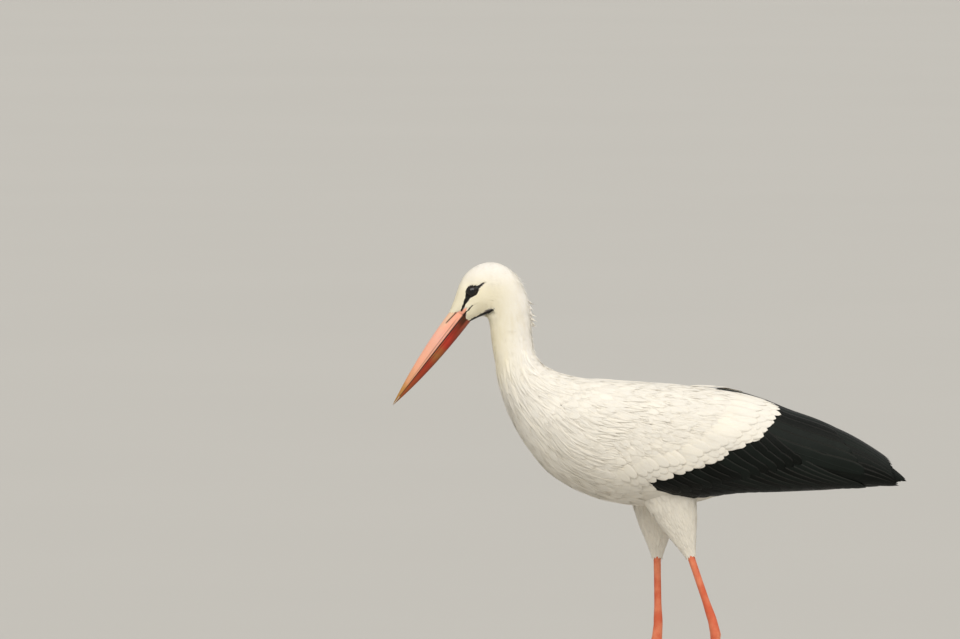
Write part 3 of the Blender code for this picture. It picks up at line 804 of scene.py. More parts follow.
def walk(surface, roots, length, yaw, shares, curl=0.0):
    """Spots along paths over a surface, which leave the roots at a yaw from its first direction towards
    its second. Each step goes on from the tangents at the spot before it, turned by the curl."""
    u, v = roots.T
    spots = [roots]
    for before, share in zip(shares, shares[1:]):
        _, ahead, aside, _ = tangents(surface, u, v)
        forward = unit(ahead)
        side = unit(aside - dot(aside, forward)[..., None] * forward)
        turn = np.broadcast_to(yaw + curl * before, u.shape)[:, None]
        reach = np.broadcast_to(length * (share - before), u.shape)[:, None]
        du, dv = on_surface(ahead, aside, (forward * np.cos(turn) + side * np.sin(turn)) * reach)
        u, v = u + du, v + dv
        spots.append(np.stack([u, v], -1))
    return np.stack(spots, 1)


def sections(rows):
    """Shares of a vane's length: its root, its tip, and between them 0.06 + 0.89 (1 - (1 - s)^n), whose
    sections crowd towards the tip of a long vane."""
    crowd = min(1.6, 1.0 + 0.12 * (rows - 2))
    return np.concatenate([[0.0], 0.06 + 0.89 * (1 - (1 - np.linspace(0, 1, rows)) ** crowd), [1.0]])


def cells(x, t, spots):
    """A strip of its own on the baked map for each of a few large feathers."""
    count = len(spots)
    middle = (np.arange(count)[:, None] + 0.5) / count
    return np.stack([middle + 0.42 / count * x, np.broadcast_to(0.02 + 0.96 * t, x.shape)], -1)


def unwrapped(x, t, spots):
    """Small patches 0.003 across, each at its root's place on the unwrap of the surface it grows on."""
    roots = spots[:, 0]
    low, high = roots.min(0), roots.max(0)
    place = 0.01 + 0.98 * (roots - low) / (high - low + 1e-9)
    return place[:, None, :] + np.stack([x * 0.0015, (t - 0.5) * 0.003], -1)


VANE_HEIGHTS = ("sink", "rise", "dome", "tilt")


def lay(name, surface, spots, width, form, finish, **look):
    """A joined mesh of closed vanes whose middles follow spots on a surface.

    A point lies at its section's spot, moved sideways by x * half width * form(t), at a height of
    level + rise t^2 - sink (1 - t)^4 + form (dome (1 - x^2) + tilt x). The underside is one keel line,
    as deep under the middle as that share of the dome. The shading normals lean from the vane's own
    towards the surface's, as soft barbs do.
    """
    material, slot = finish
    columns, count, rows = look.get("columns", 3), len(spots), spots.shape[1] - 2
    share = sections(rows)
    level, sink, rise, dome, tilt = (
        np.broadcast_to(look.get(key, 0.0), count)[:, None, None] for key in ("level", *VANE_HEIGHTS)
    )
    here, ahead, aside, normal = tangents(surface, spots[..., 0], spots[..., 1])
    forward = unit(np.gradient(here, axis=1))
    du, dv = on_surface(ahead, aside, np.cross(normal, forward))
    across = np.linspace(-1, 1, columns)
    x = np.append(across, 0.0)[None, None, :]
    crown = np.append(1 - across**2, -look.get("keel", 0.35))
    t = share[None, :, None]
    full = form(share)[None, :, None]
    wide = np.broadcast_to(width, count)[:, None, None] / 2 * x * full
    height = level + rise * t**2 - sink * (1 - t) ** 4 + full * (dome * crown + tilt * x)
    points = surface(spots[..., :1] + du[..., None] * wide, spots[..., 1:] + dv[..., None] * wide, height)

    def trimmed(values):
        """Inner sections in full, then the root point and the tip point."""
        inner = values[:, 1:-1].reshape(count, -1, *values.shape[3:])
        return np.concatenate([inner, values[:, 0, -1:], values[:, -1, -1:]], 1)

    along = np.linalg.norm(np.diff(here, axis=1), axis=-1)
    along = np.concatenate([np.zeros((count, 1)), np.cumsum(along, 1)], 1)[..., None]
    grid = np.ones(points.shape[:3])
    points, x, t = trimmed(points), trimmed(x * grid), trimmed(t * grid)
    bake = look.get("bake", unwrapped)(x, t, spots)
    maps = {"OFBake": bake, "Vane": np.stack([x, trimmed(along * grid)], -1)}
    lie = trimmed(normal[:, :, None, :] * grid[..., None])
    base = (np.arange(count) * points.shape[1])[:, None, None]
    groups = [(faces + base).reshape(-1, faces.shape[1]) for faces in tube_faces(rows, columns + 1)]
    own = np.repeat(np.random.default_rng(len(name)).random(count), points.shape[1])
    piece = make_piece(name, points, groups, material, maps, {"own": own, "reach": t})
    soften(piece.data, lie.reshape(-1, 3), look.get("soft", 0.7))
    finish_piece(piece, slot)
    return piece


def soften(mesh, lie, share):
    """Leans the normals of outward corners towards the surface that the vanes lie on."""

    def read(items, name, width, kind=np.float32):
        values = np.empty(len(items) * width, kind)
        items.foreach_get(name, values)
        return values if width == 1 else values.reshape(-1, width)

    normals = read(mesh.corner_normals, "vector", 3)
    sides = read(mesh.polygons, "loop_total", 1, np.int32)
    faces = np.repeat(read(mesh.polygons, "normal", 3), sides, axis=0)
    lie = lie[read(mesh.loops, "vertex_index", 1, np.int32)]
    lean = share * soft_step(0.05, 0.30, dot(faces, lie))[:, None]
    mesh.normals_split_custom_set(unit(normals * (1 - lean) + lie * lean))


def drift(u, v, seed):
    """Smooth uneven numbers from about -1 to 1: a sum of sines that fit a whole number of times round."""
    rng = np.random.default_rng(seed)
    total = 0.0
    for _ in range(5):
        ahead, round_it, start = 1.3 * rng.uniform(0.6, 1.8), rng.integers(-3, 4), rng.uniform(0, 6)
        total = total + np.sin(u * ahead + v * round_it + start)
    return total / 3


def scatter(surface, spans, spacing, stagger, seed):
    """Roots in staggered rows over a span of a surface, at a spacing (along, across) given in metres.

    Each row steps on by the spacing where the surface's first parameter is most stretched out, and
    holds as many roots as its length allows. Where the stretch is less, as many are left out. Each root
    is then shaken by the stagger, as a share of a step.
    """
    rng = np.random.default_rng(seed)
    (u, high), (first, last) = spans
    sweep = np.linspace(first, last, 90)
    roots, odd, small = [], False, 1e-3 * (high - u)
    while u < high:
        apart, aside = (size(u) if callable(size) else size for size in spacing)
        line = surface(np.full_like(sweep, u), sweep, 0.0)
        stretch = np.linalg.norm(surface(np.full_like(sweep, u + small), sweep, 0.0) - line, axis=-1) / small
        walked = np.concatenate([[0], np.cumsum(np.linalg.norm(np.diff(line, axis=0), axis=-1))])
        count = max(2, int(walked[-1] / aside))
        marks = (np.arange(count) + (0.75 if odd else 0.25)) / count
        marks = (marks + rng.normal(0, stagger / count, count)) * walked[-1]
        local = np.interp(marks, walked, stretch)
        places = u + rng.normal(0, stagger, count) * apart / local
        spots = np.stack([places, np.interp(marks, walked, sweep)], -1)
        roots.append(spots[rng.random(count) < local / stretch.max()])
        u, odd = u + apart / stretch.max(), not odd
    return np.concatenate(roots)


# ---- skin ----


def face_relief(points):
    """How far the skin stands out: a rim round each eye, sunk lores and a line at the gape."""
    x, y, z = points[..., 0], np.abs(points[..., 1]), points[..., 2]
    off_eye = np.hypot(x - EYE[0], z - EYE[2])
    rim = 0.0011 * np.exp(-(((off_eye - EYE_OPENING - 0.0010) / 0.0011) ** 2))
    lore = -0.0004 * soft_step(0.0015, 0.0, distance_to_line(x, z, *LORE))
    gape = -0.0012 * np.exp(-((distance_to_line(x, z, GAPE[0]) / 0.0010) ** 2))
    return (rim + lore + gape) * soft_step(0.006, 0.014, y)


def off_lid(x, z):
    """How far points are outside the dark eyelid, an oval that is longer along its slant."""
    dx, dz = x - EYE[0], z - EYE[2]
    along_slant = dx * math.cos(LID_SLANT) + dz * math.sin(LID_SLANT)
    across_slant = dz * math.cos(LID_SLANT) - dx * math.sin(LID_SLANT)
    return np.hypot(along_slant / LID_STRETCH, across_slant) - EYE_OPENING - LID_WIDTH


def horn_wedge(x, y, z):
    """1 on the bare wedge of skin behind the bill, 0 off it."""
    beside = soft_step(0.005, 0.008, np.abs(y))
    return soft_step(0.0005, -0.0007, distance_to_line(x, z, *HORN_WEDGE)) * beside


def unfeathered(points):
    """1 where the skin itself is the outer face, at the horn wedge and the throat line, less at the lores."""
    x, y, z = np.moveaxis(points, -1, 0)
    gular = soft_step(0.0006, -0.0006, distance_to_line(x, z, *GULAR))
    lore = soft_step(0.0004, -0.0010, distance_to_line(x, z, *LORE)) * soft_step(0.006, 0.012, abs(y))
    return np.maximum(np.maximum(horn_wedge(x, y, z), gular), 0.5 * lore)


def body_skin():
    """Points and faces of the body's skin: rings closer together on the head, and a tail that narrows
    under its feathers."""
    head = np.linspace(0, PLACE["neck_top"], HEAD_RINGS)
    rest = np.linspace(PLACE["neck_top"], PLACE["tail_end"], BODY_RINGS)[1:]
    places = np.concatenate([head, rest])[:, None]
    angles = round_angles(BODY_ROUND)[None, :]
    outer = body_surface(places, angles, 0.0)
    full = smooth_rows(COAT_DEPTH, places)[..., 0] - 0.0005
    relief = face_relief(outer) + full * unfeathered(outer) * soft_step(0.0, 0.5, places)
    points, faces = closed_tube(skin_surface(places, angles, relief))
    points[:, 1] *= 1 - TAIL_NARROWING * soft_step(0.28, 0.36, points[:, 0])
    return points, faces


def leg_rings(upper, lower):
    """Rings down a leg's skin, from inside the thigh past the ankle to the toe joint."""
    rings = []
    bones = ((upper, SHANK_PROFILE, 0.020, 0.216), (lower, TARSUS_PROFILE, 0.006, 0.208))
    for placing, profile, start, end in bones:
        surface = turned_surface(placing, profile, SHIN_FLATNESS)
        distances = np.linspace(start, end, BONE_RINGS)[:, None]
        rings.append(surface(distances, round_angles(LEG_ROUND)[None], 0.0))
    return np.concatenate(rings)


def toe_line(side, name):
    """Where a toe starts, which way it points and how long it is."""
    _, _, joint, sign = leg_frames(side)
    turn, length = math.radians(TOES[name][0]), TOES[name][1]
    direction = Vector((-math.cos(turn), sign * math.sin(turn), 0.0))
    back = HIND_TOE_START if name == "hind" else TOE_START
    return Vector((joint[0], joint[1], 0.0)) + direction * back, direction, length


def toe_rings(side, name):
    """Rings along a toe: pads that swell between its joints, pressed flat on the ground."""
    start, direction, length = toe_line(side, name)
    _, _, root, tip, joints = TOES[name]
    steps = np.linspace(-0.011, length, 12 * joints + 6)[:, None]
    share = np.clip(steps / length, 0, 1)
    radius = (root + (tip - root) * share) * (1 + 0.09 * np.cos(FULL_TURN * (joints + 0.5) * share))
    rise = TOE_SINK * radius + (HIND_TOE_RISE * (1 - share) ** 2 if name == "hind" else 0)
    angles = round_angles(TOE_ROUND)
    local = [np.maximum(0.0, rise + radius * np.cos(angles)), radius * np.sin(angles), steps + 0 * angles]
    return placed(np.stack(local, -1), along_bone(start, direction, (0.0, 0.0, 1.0)))


def leg_frames(side):
    """The placings of a leg's two bones and the place where its toes part."""
    sign, knee_x, toe_x = LEGS[side]
    knee = np.array([knee_x, sign * KNEE_SPREAD, KNEE_HEIGHT])
    joint = np.array([toe_x, sign * FOOT_SPREAD, TOE_JOINT_HEIGHT])
    ankle = two_bones(knee, joint, TIBIA_LENGTH, TARSUS_LENGTH)
    ahead = (-1.0, 0.0, 0.0)
    return along_bone(knee, ankle - knee, ahead), along_bone(ankle, joint - ankle, ahead), joint, sign


def web_between(side, first, second):
    """A thin wedge between two toes: corners out on each toe and back at the toe joint."""
    joint = leg_frames(side)[2]
    corners = []
    for height in (0.0008, 0.0034):
        for name in (first, second):
            start, direction, _ = toe_line(side, name)
            out = start + direction * WEB_REACH
            corners.append((out.x, out.y, height))
        corners.append((joint[0] - 0.004, joint[1], height + 0.001))
    faces = [np.array([[0, 1, 4, 3], [1, 2, 5, 4], [2, 0, 3, 5]]), np.array([[0, 2, 1], [3, 4, 5]])]
    return np.array(corners), faces


def legs_skin():
    """Both legs' skins: tubes for shank, tarsus and toes, a pad and webs, fused by a voxel remesh."""
    shells = []
    for side in LEGS:
        upper, lower, joint, _ = leg_frames(side)
        shells.append(closed_tube(leg_rings(upper, lower)))
        shells += [closed_tube(toe_rings(side, name)) for name in TOES]
        shells += [web_between(side, "inner", "middle"), web_between(side, "middle", "outer")]
        pad = ball_grid(14, 24) * (0.0105, 0.0080, 0.0085) + (joint[0] - 0.005, joint[1], 0.0080)
        pad[..., 2] = np.maximum(pad[..., 2], 0.0)
        shells.append(closed_tube(pad))
    legs = make_piece("legs_cage", *joined(shells), turn=False)
    fuse = legs.modifiers.new("fuse", "REMESH")
    fuse.mode = "VOXEL"
    fuse.voxel_size = SKIN_VOXEL
    relax = legs.modifiers.new("relax", "SMOOTH")
    relax.factor, relax.iterations = 0.5, 6
    return legs


def skin_marks(x, y, z):
    """The skin's marks as numbers from 0 to 1: red legs, black lines of the face, and the horn-coloured
    wedge at the gape, with its part under the line between the halves of the bill."""
    on_head = soft_step(0.60, 0.62, z)
    lore = soft_step(0.0012, -0.0002, distance_to_line(x, z, *LORE)) * soft_step(-0.246, -0.250, x)
    lore = np.maximum(lore, soft_step(0.0016, 0.0004, off_lid(x, z)))
    gape = soft_step(0.0008, -0.0002, distance_to_line(x, z, *GAPE))
    gular = soft_step(0.0014, 0.0004, distance_to_line(x, z, *GULAR))
    beside = soft_step(0.006, 0.012, np.abs(y)) * on_head
    _, (bx, bz), (ax, az) = GAPE[0]
    under = ((x - ax) * (bz - az) - (z - az) * (bx - ax)) / math.hypot(bx - ax, bz - az)
    return {
        "leg": soft_step(*BARE_LEG_TOP, z),
        "black": np.maximum(np.maximum(lore, gape) * beside, gular),
        "horn": horn_wedge(x, y, z) * on_head,
        "under": soft_step(-0.0004, 0.0004, under),
    }


def make_skin(material):
    """One skin: the body's loft and the fused legs joined by a Boolean union, then its marks."""
    skin = make_piece("skin", *body_skin())
    legs = legs_skin()
    join = skin.modifiers.new("legs", "BOOLEAN")
    join.operation = "UNION"
    join.object = legs
    depsgraph = bpy.context.evaluated_depsgraph_get()
    whole = bpy.data.meshes.new_from_object(skin.evaluated_get(depsgraph))
    skin.modifiers.clear()
    skin.data = whole
    bpy.data.objects.remove(legs)
    points = np.empty(len(whole.vertices) * 3, np.float32)
    whole.vertices.foreach_get("co", points)
    store_numbers(whole, skin_marks(*points.reshape(-1, 3).T))
    whole.shade_smooth()
    whole.materials.clear()
    whole.materials.append(material)
    return skin


# ---- bill, eyes and claws ----


def make_bill(half, material):
    """Half of the bill: a rounded roof section along a straight gape, narrowing to the tip.

    Height is H (1 - s^n) sin(a)^0.8 and half width W (1 - s^1.15), at share s of the length and angle a
    from one edge over the ridge to the other. The upper half has a slit nostril on each side.
    """
    sign, base_height, curve, start = BILL_HALVES[half]
    share = np.concatenate([np.linspace(start, 0.94, 90), np.linspace(0.95, 0.998, 16)])[:, None]
    turn = np.linspace(0, math.pi, 65)[None, :]
    inside = np.clip(share, 0, 1)
    height = base_height * (1 - inside**curve)
    wide = BILL_HALF_WIDTH * (1 - inside**SIDE_CURVE) + 0.0003
    lift = GAPE_LIFT + height * np.sin(turn) ** 0.8
    level = lift / np.maximum(height, 1e-4)
    nostril = np.zeros_like(lift)
    if half == "upper":
        span = soft_step(-0.010, 0.010, share) * soft_step(0.145, 0.125, share)
        nostril = span * np.exp(-(((level - 0.585 - 1.05 * inside) / 0.050) ** 2))
    out = wide * np.cos(turn) * (1 - 0.10 * np.sin(turn) ** 2) * (1 - 0.14 * nostril)
    seam = soft_step(0.0, 0.12, share) * soft_step(0.85, 0.6, share)
    seam = seam * np.exp(-(((level - 0.24) / 0.035) ** 2))
    # Painted shade in the nostril slit, along the edge at the gape and in the groove along each half
    dark = np.maximum(nostril, np.maximum(0.9 * soft_step(0.10, 0.02, level), 0.6 * seam))
    line = BILL_BASE + share[..., None] * BILL_LENGTH * BILL_AHEAD
    roof = line + lift[..., None] * sign * BILL_UP + out[..., None] * ASIDE
    floor = line + GAPE_LIFT * sign * BILL_UP
    floor = floor + np.linspace(-0.97, 0.97, 63)[None, :, None] * wide[..., None] * ASIDE
    plain = np.zeros(floor.shape[:2])
    spots = np.stack(np.broadcast_arrays(share, np.concatenate([turn / math.pi, plain[:1]], axis=1)), -1)
    maps = {"Horn": np.concatenate([spots.reshape(-1, 2), [[start, 0.5], [1.0, 0.5]]])}
    values = {"groove": np.append(np.concatenate([dark, plain], axis=1), [0.0, 0.0])}
    tube = closed_tube(np.concatenate([roof, floor], axis=1))
    return make_piece(f"bill_{half}_horn", *tube, material, maps, values)


def make_mouth(material):
    """The lining that shows as a thin line between the halves of the bill, near black as painted shade."""
    share = np.linspace(-0.10, 0.90, 40)[:, None]
    turn = round_angles(12)[None]
    wide = BILL_HALF_WIDTH * 0.93 * (1 - np.clip(share, 0, 1) ** SIDE_CURVE) + 0.0001
    points = BILL_BASE + share[..., None] * BILL_LINE
    points = points + (wide * np.cos(turn))[..., None] * ASIDE + (0.0009 * np.sin(turn))[..., None] * BILL_UP
    return make_piece("mouth_lining", *closed_tube(points), material)


def make_eye(side, material):
    """A ball with a slightly fuller cornea outwards."""
    sign = LEGS[side][0]
    ball = ball_grid(40, 48)[..., [0, 2, 1]]
    ball = ball * EYE_RADIUS * (1 + 0.02 * soft_step(0.8, 1.0, ball[..., 1:2]))
    ball = ball * (1.0, sign, 1.0) + (EYE[0], sign * EYE[1], EYE[2])
    return make_piece(f"eyeball_{side}", *closed_tube(ball), material)


def make_claws(side, material):
    """Blunt flat claws that continue the toes and end just above the ground."""
    tip_radius = TOES["hind"][3]
    share, angles = np.linspace(-0.15, 1, 14)[:, None], round_angles(14)
    radius = 0.84 * tip_radius * np.sqrt(1 - 0.97 * np.clip(share, 0, 1) ** 2)
    height = np.maximum(0.0, TOE_SINK * tip_radius * (1 - 0.35 * share) + radius * np.cos(angles))
    local = np.stack([height, radius * np.sin(angles), share * CLAW_LENGTH + 0 * angles], -1)
    shells = []
    for name in TOES:
        start, direction, length = toe_line(side, name)
        placing = along_bone(start + direction * length, direction, (0.0, 0.0, 1.0))
        shells.append(closed_tube(placed(local, placing)))
    return make_piece(f"claws_{side}", *joined(shells), material)


# ---- the plumage, region by region ----


def bare_face(points):
    """How deep points are in the bare parts of the face: above 0 on lores, eyelids and dark lines."""
    x, y, z = points[..., 0], np.abs(points[..., 1]), points[..., 2]
    lore, gape, horn, gular = (-distance_to_line(x, z, *line) for line in (LORE, GAPE, HORN_WEDGE, GULAR))
    sides = np.maximum(np.maximum(lore, -off_lid(x, z)), np.maximum(gape, horn))
    return np.maximum(np.where(y > 0.007, sides, -1.0), gular)


def off_the_face(surface, spots):
    """Keeps the tufts that touch no bare part of the face, with ragged edges, and that start behind the
    bill's own edge, which lies farther forward along the ridge."""
    rng = np.random.default_rng(31)
    here = surface(spots[..., 0], spots[..., 1], 0.0)
    ragged = rng.normal(-0.0003, 0.0004, len(spots))[:, None]
    start = np.interp(np.cos(spots[:, 0, 1]), (-1.0, -0.6, 0.0, 0.5, 1.0), (-0.05, 0.05, -0.10, -0.15, -0.60))
    return (bare_face(here) < ragged).all(1) & (spots[:, 0, 0] > start + rng.normal(0.0, 0.07, len(spots)))


def out_of_wing(surface, spots):
    """Keeps the feathers of the body that the folded wings don't hide, from their spots alone."""
    share, from_back = wing_share(spots[..., 0]), degrees_from_back(spots[..., 1])
    edges = wing_edges(np.clip(share, 0, 1))
    lower = edges[..., 1] - 14 + 10 * soft_step(0.16, 0.28, share)
    hidden = (share > 0.08) & (from_back > edges[..., 0] + 14) & (from_back < lower)
    return ~hidden.all(1)


def at(value, roots):
    """A value that may be a function of a root's two places."""
    return value(*roots.T) if callable(value) else value


def along(places, sizes, factor=1.0):
    """A size that follows the first parameter through named places."""
    return lambda u, v=None: factor * np.interp(u, places, sizes)


def grow_coat(name, surface, spans, form, finish, seed, spacing, length, width, rows=4, **look):
    """Vanes scattered over a surface and laid along it. Their yaw is the lean, a slow drift that groups
    them in locks, and each one's own stray; their height is shaken a little."""
    roots = scatter(surface, spans, spacing, look.get("stagger", 0.4), seed)
    rng = np.random.default_rng(seed + 100)
    count, vary = len(roots), look.get("vary", 0.2)
    size = at(length, roots) * rng.uniform(1 - vary, 1 + vary, count)
    yaw = look.get("lean", 0.0) + look.get("clump", 0.0) * drift(*roots.T, seed)
    yaw = yaw + rng.normal(0, look.get("stray", 0.1), count)
    spots = walk(surface, roots, size, yaw, sections(rows), look.get("curl", 0.0) * rng.normal(0, 1, count))
    kept = look["keep"](surface, spots) if "keep" in look else np.ones(count, bool)
    level = at(look.get("level", 0.0), roots) + rng.normal(0, look.get("shake", 0.0002), count)
    heights = {key: np.broadcast_to(at(look[key], roots), count)[kept] for key in VANE_HEIGHTS if key in look}
    plain = {key: look[key] for key in ("columns", "soft") if key in look}
    wide = np.broadcast_to(at(width, roots), count)[kept]
    return lay(name, surface, spots[kept], wide, form, finish, level=level[kept], **heights, **plain)


def head_coats(white):
    """Short fine tufts on the face, growing longer over the crown to the nape, and off the bare lores."""
    face, nape = (0.0, 1.0, 2.5, 4.4), (4.3, 6.0, 8.3)
    look = {"dome": 0.00012, "shake": 0.00006, "vary": 0.15, "soft": 0.95, "keep": off_the_face, "rows": 3}
    look["sink"] = lambda u, v: smooth_rows(COAT_DEPTH, u)[:, 0] * 0.7
    grow_coat(
        "coat_face", body_surface, ((-0.70, 4.4), ALL_ROUND), tufted, white, 1,
        spacing=(
            along(face, (0.0009, 0.0012, 0.0016, 0.0021)),
            along(face, (0.0008, 0.0009, 0.0010, 0.0011)),
        ),
        length=along(face, (0.0034, 0.0044, 0.0062, 0.0086)),
        width=along(face, (0.0018, 0.0022, 0.0027, 0.0032)),
        rise=along(face, (0.0002, 0.0003, 0.0004, 0.0005)),
        level=along(face, (0.0, -0.0002, -0.0004, -0.0007)),
        clump=0.08, stray=0.08, **look,
    )
    grow_coat(
        "coat_crown", body_surface, ((4.2, 8.3), ALL_ROUND), tufted, white, 2, spacing=(0.0023, 0.0012),
        length=along(nape, (0.0086, 0.0115, 0.0150)), width=along(nape, (0.0032, 0.0037, 0.0042)),
        rise=0.0006, level=along((4.3, 5.5, 7.0, 8.3), (-0.0008, -0.0014, -0.0012, -0.0004)),
        clump=0.05, stray=0.06, **look,
    )


def neck_coats(white):
    """Soft narrow tufts down the neck, and loose ones that stand off the nape and the hind neck."""
    neck = (7.6, 10.0, 12.0, 14.2)
    grow_coat(
        "coat_neck", draped_surface, ((7.6, 14.2), ALL_ROUND), tufted, white, 3,
        spacing=(
            along(neck, (0.0032, 0.0038, 0.0046, 0.0064)),
            along(neck, (0.0015, 0.0017, 0.0021, 0.0028)),
        ),
        length=along(neck, (0.0140, 0.0180, 0.0230, 0.0300)),
        width=along(neck, (0.0042, 0.0048, 0.0058, 0.0074)),
        clump=0.07, stray=0.06, sink=0.003, rise=0.0008, level=-0.0005, dome=0.0002, shake=0.0001,
        stagger=0.45, soft=0.9,
    )
    rng, count = np.random.default_rng(13), 260
    roots = np.stack([rng.uniform(6.2, 12.6, count), rng.normal(0, 0.40, count)], -1)
    length = rng.uniform(0.009, 0.017, count)
    spots = walk(body_surface, roots, length, rng.normal(0, 0.25, count), sections(4))
    stand = np.abs(rng.normal(0.0006, 0.0013, count)) * (1 + 1.2 * (roots[:, 0] < 9.5))
    look = {"sink": 0.002, "rise": stand, "dome": 0.0004, "soft": 0.6}
    lay("coat_nape", body_surface, spots, 0.0022, strand, white, **look)
    for name, count, span, rises, width, roll, soft in (
        ("nape_spikes", 11, (7.8, 9.3), (0.0066, 0.0130), 0.0052, 0.0032, 0.1),
        ("hackle", 110, (8.2, 13.4), (0.0010, 0.0048), 0.0040, 0.0006, 0.6),
    ):
        roots = np.stack([rng.uniform(*span, count), rng.normal(0, 0.12, count)], -1)
        length = rng.uniform(0.013, 0.020, count)
        spots = walk(body_surface, roots, length, rng.normal(0, 0.22, count), sections(6))
        stand = rng.uniform(*rises, count) * np.interp(roots[:, 0], (9.0, 13.4), (1.0, 0.35))
        look = {"rise": stand, "tilt": roll * rng.choice((-1.0, 1.0), count), "soft": soft}
        lay(name, body_surface, spots, width, pointed, white, dome=0.0006, sink=0.003, **look)


def breast_coats(white):
    """Long lanceolate plumes over the lower neck, breast and shoulders, which lie over the wings' fronts."""

    def to_front(at_back, more):
        """A size on the back that grows by more towards the front."""
        return lambda u, v: at_back + more * np.clip(np.cos(v - math.pi), 0, 1)

    spans = ((PLACE["middle_neck"] + 0.3, 16.2), (0.27 * math.pi, 1.73 * math.pi))
    grow_coat(
        "coat_breast", draped_surface, spans, pointed, white, 5, spacing=(0.0078, 0.0052),
        length=to_front(0.040, 0.040), width=to_front(0.0075, 0.0015), rise=to_front(0.0007, 0.0008),
        rows=7, clump=0.15, stray=0.07, curl=0.10, sink=0.003, dome=0.0007, shake=0.0004, stagger=0.5,
    )
    mantle = (12.4, 15.9)
    grow_coat(
        "coat_mantle", draped_surface, (mantle, (-0.36 * math.pi, 0.36 * math.pi)), pointed, white, 6,
        spacing=(0.0095, 0.0075), length=along(mantle, (0.028, 0.046)), width=along(mantle, (0.0085, 0.0150)),
        rows=6, columns=5, clump=0.12, sink=0.003, rise=0.0006, dome=0.0008, shake=0.0003,
    )


def body_coats(white):
    """Rounded feathers on the back, breast, belly, flanks and tail coverts, with loose barbs over them."""
    spans = ((PLACE["shoulders"] + 0.6, PLACE["tail_middle"] + 0.5), ALL_ROUND)
    grow_coat(
        "coat_body", draped_surface, spans, rounded, white, 7, spacing=(0.0100, 0.0092), length=0.036,
        width=0.0185, rows=6, columns=5, clump=0.10, stray=0.08, sink=0.005, rise=0.0003, dome=0.0008,
        shake=0.0003, keep=out_of_wing,
    )
    grow_coat(
        "coat_wisps", draped_surface, spans, strand, white, 8, spacing=(0.0066, 0.0042), length=0.022,
        width=0.0030, rows=3, clump=0.20, stray=0.16, sink=0.002, rise=0.0006, dome=0.0004,
        shake=0.0003, stagger=0.6, vary=0.35, keep=out_of_wing,
    )


def thigh_coats(white):
    """Feathered trousers: narrow feathers that shorten down to the bare shank, and broader ones that
    run from the belly over their tops."""
    down = (0.0, 0.080, 0.106)
    for side in LEGS:
        upper = leg_frames(side)[0]
        grow_coat(
            f"coat_thigh_{side}", turned_surface(upper, THIGH_PROFILE, THIGH_FLATNESS),
            ((0.002, 0.104), ALL_ROUND), tufted, white, 9, spacing=(0.0042, 0.0026),
            length=along(down, (0.026, 0.019, 0.013)), width=along(down, (0.0080, 0.0066, 0.0050)),
            clump=0.06, sink=0.0025, rise=0.0003, dome=0.0004, shake=0.0002,
        )
        grow_coat(
            f"coat_hip_{side}", turned_surface(upper, HIP_PROFILE, THIGH_FLATNESS),
            ((-0.022, 0.014), ALL_ROUND), tufted, white, 14, spacing=(0.0060, 0.0052), length=0.032,
            width=0.0110, rows=5, clump=0.08, sink=0.0030, rise=0.0004, dome=0.0005, shake=0.0003,
        )


# ---- wings and tail ----


def white_end(length_share):
    """The share of the wing's width at which its white feathers end and the black ones show."""
    return np.interp(length_share, *np.array(WHITE_EDGE).T)


def in_white(side):
    """Keeps the feathers whose tips end on the white part of a wing. The right wing lies uppermost on
    the back, and its black tertials show there beside the midline."""

    def keep(surface, spots):
        tip, edge = spots[:, -1], np.array(TERTIAL_EDGE).T
        clear = tip[:, 1] > np.interp(tip[:, 0], *edge) if side == "right" else True
        return (tip[:, 1] < white_end(tip[:, 0])) & clear

    return keep


def spots_at(marks, places, spots):
    """Spots at marks between the places of a row of spots."""
    return np.stack([np.interp(marks, places, spots[:, k]) for k in (0, 1)], -1)


def edge_row(surface, tips, length, yaw):
    """Feathers worked back from where their tips end."""
    return walk(surface, tips, length, math.pi + yaw, 1 - sections(EDGE_ROWS)[::-1])[:, ::-1]


def wing_pads(side, white, black):
    """The closed pads under a wing's feathers, white before the line and black behind it."""
    surface, rows = wing_surface(side), 60
    for colour, (material, slot), ends in (("white", white, (0.0, 0.59)), ("black", black, (0.31, 0.94))):
        a = np.linspace(*ends, rows)[:, None]
        share = np.linspace(0, 1, 30)[None]
        line = np.clip(white_end(a), 0.01, 0.985)
        end = soft_step(0.83, 0.95, a)
        low = 0.01 if colour == "white" else line + (0.5 - line) * end
        high = line if colour == "white" else 0.985 - 0.25 * soft_step(0.72, 0.92, a)
        b = low + (high - low) * share
        outer = surface(a, b, -PAD_DEPTH - 0.005 * soft_step(0.82, 0.955, a))
        inner = surface(a, b, BED_CLEARANCE * 0.4 - wing_thickness(a, b))
        points, faces = closed_tube(np.concatenate([outer, inner[:, ::-1]], axis=1))
        round_pad = np.concatenate([share * 0.48, 0.52 + share * 0.48], axis=1)
        bake = np.stack(np.broadcast_arrays(round_pad, np.linspace(0, 1, rows)[:, None]), -1).reshape(-1, 2)
        bake = np.concatenate([bake, [[0.5, 0.0], [0.5, 1.0]]])
        maps = {"OFBake": bake, "Vane": np.zeros((len(points), 2))}
        plain = np.full(len(points), 0.4)
        values = {"own": plain, "reach": plain}
        finish_piece(make_piece(f"wing_pad_{colour}_{side}", points, faces, material, maps, values), slot)


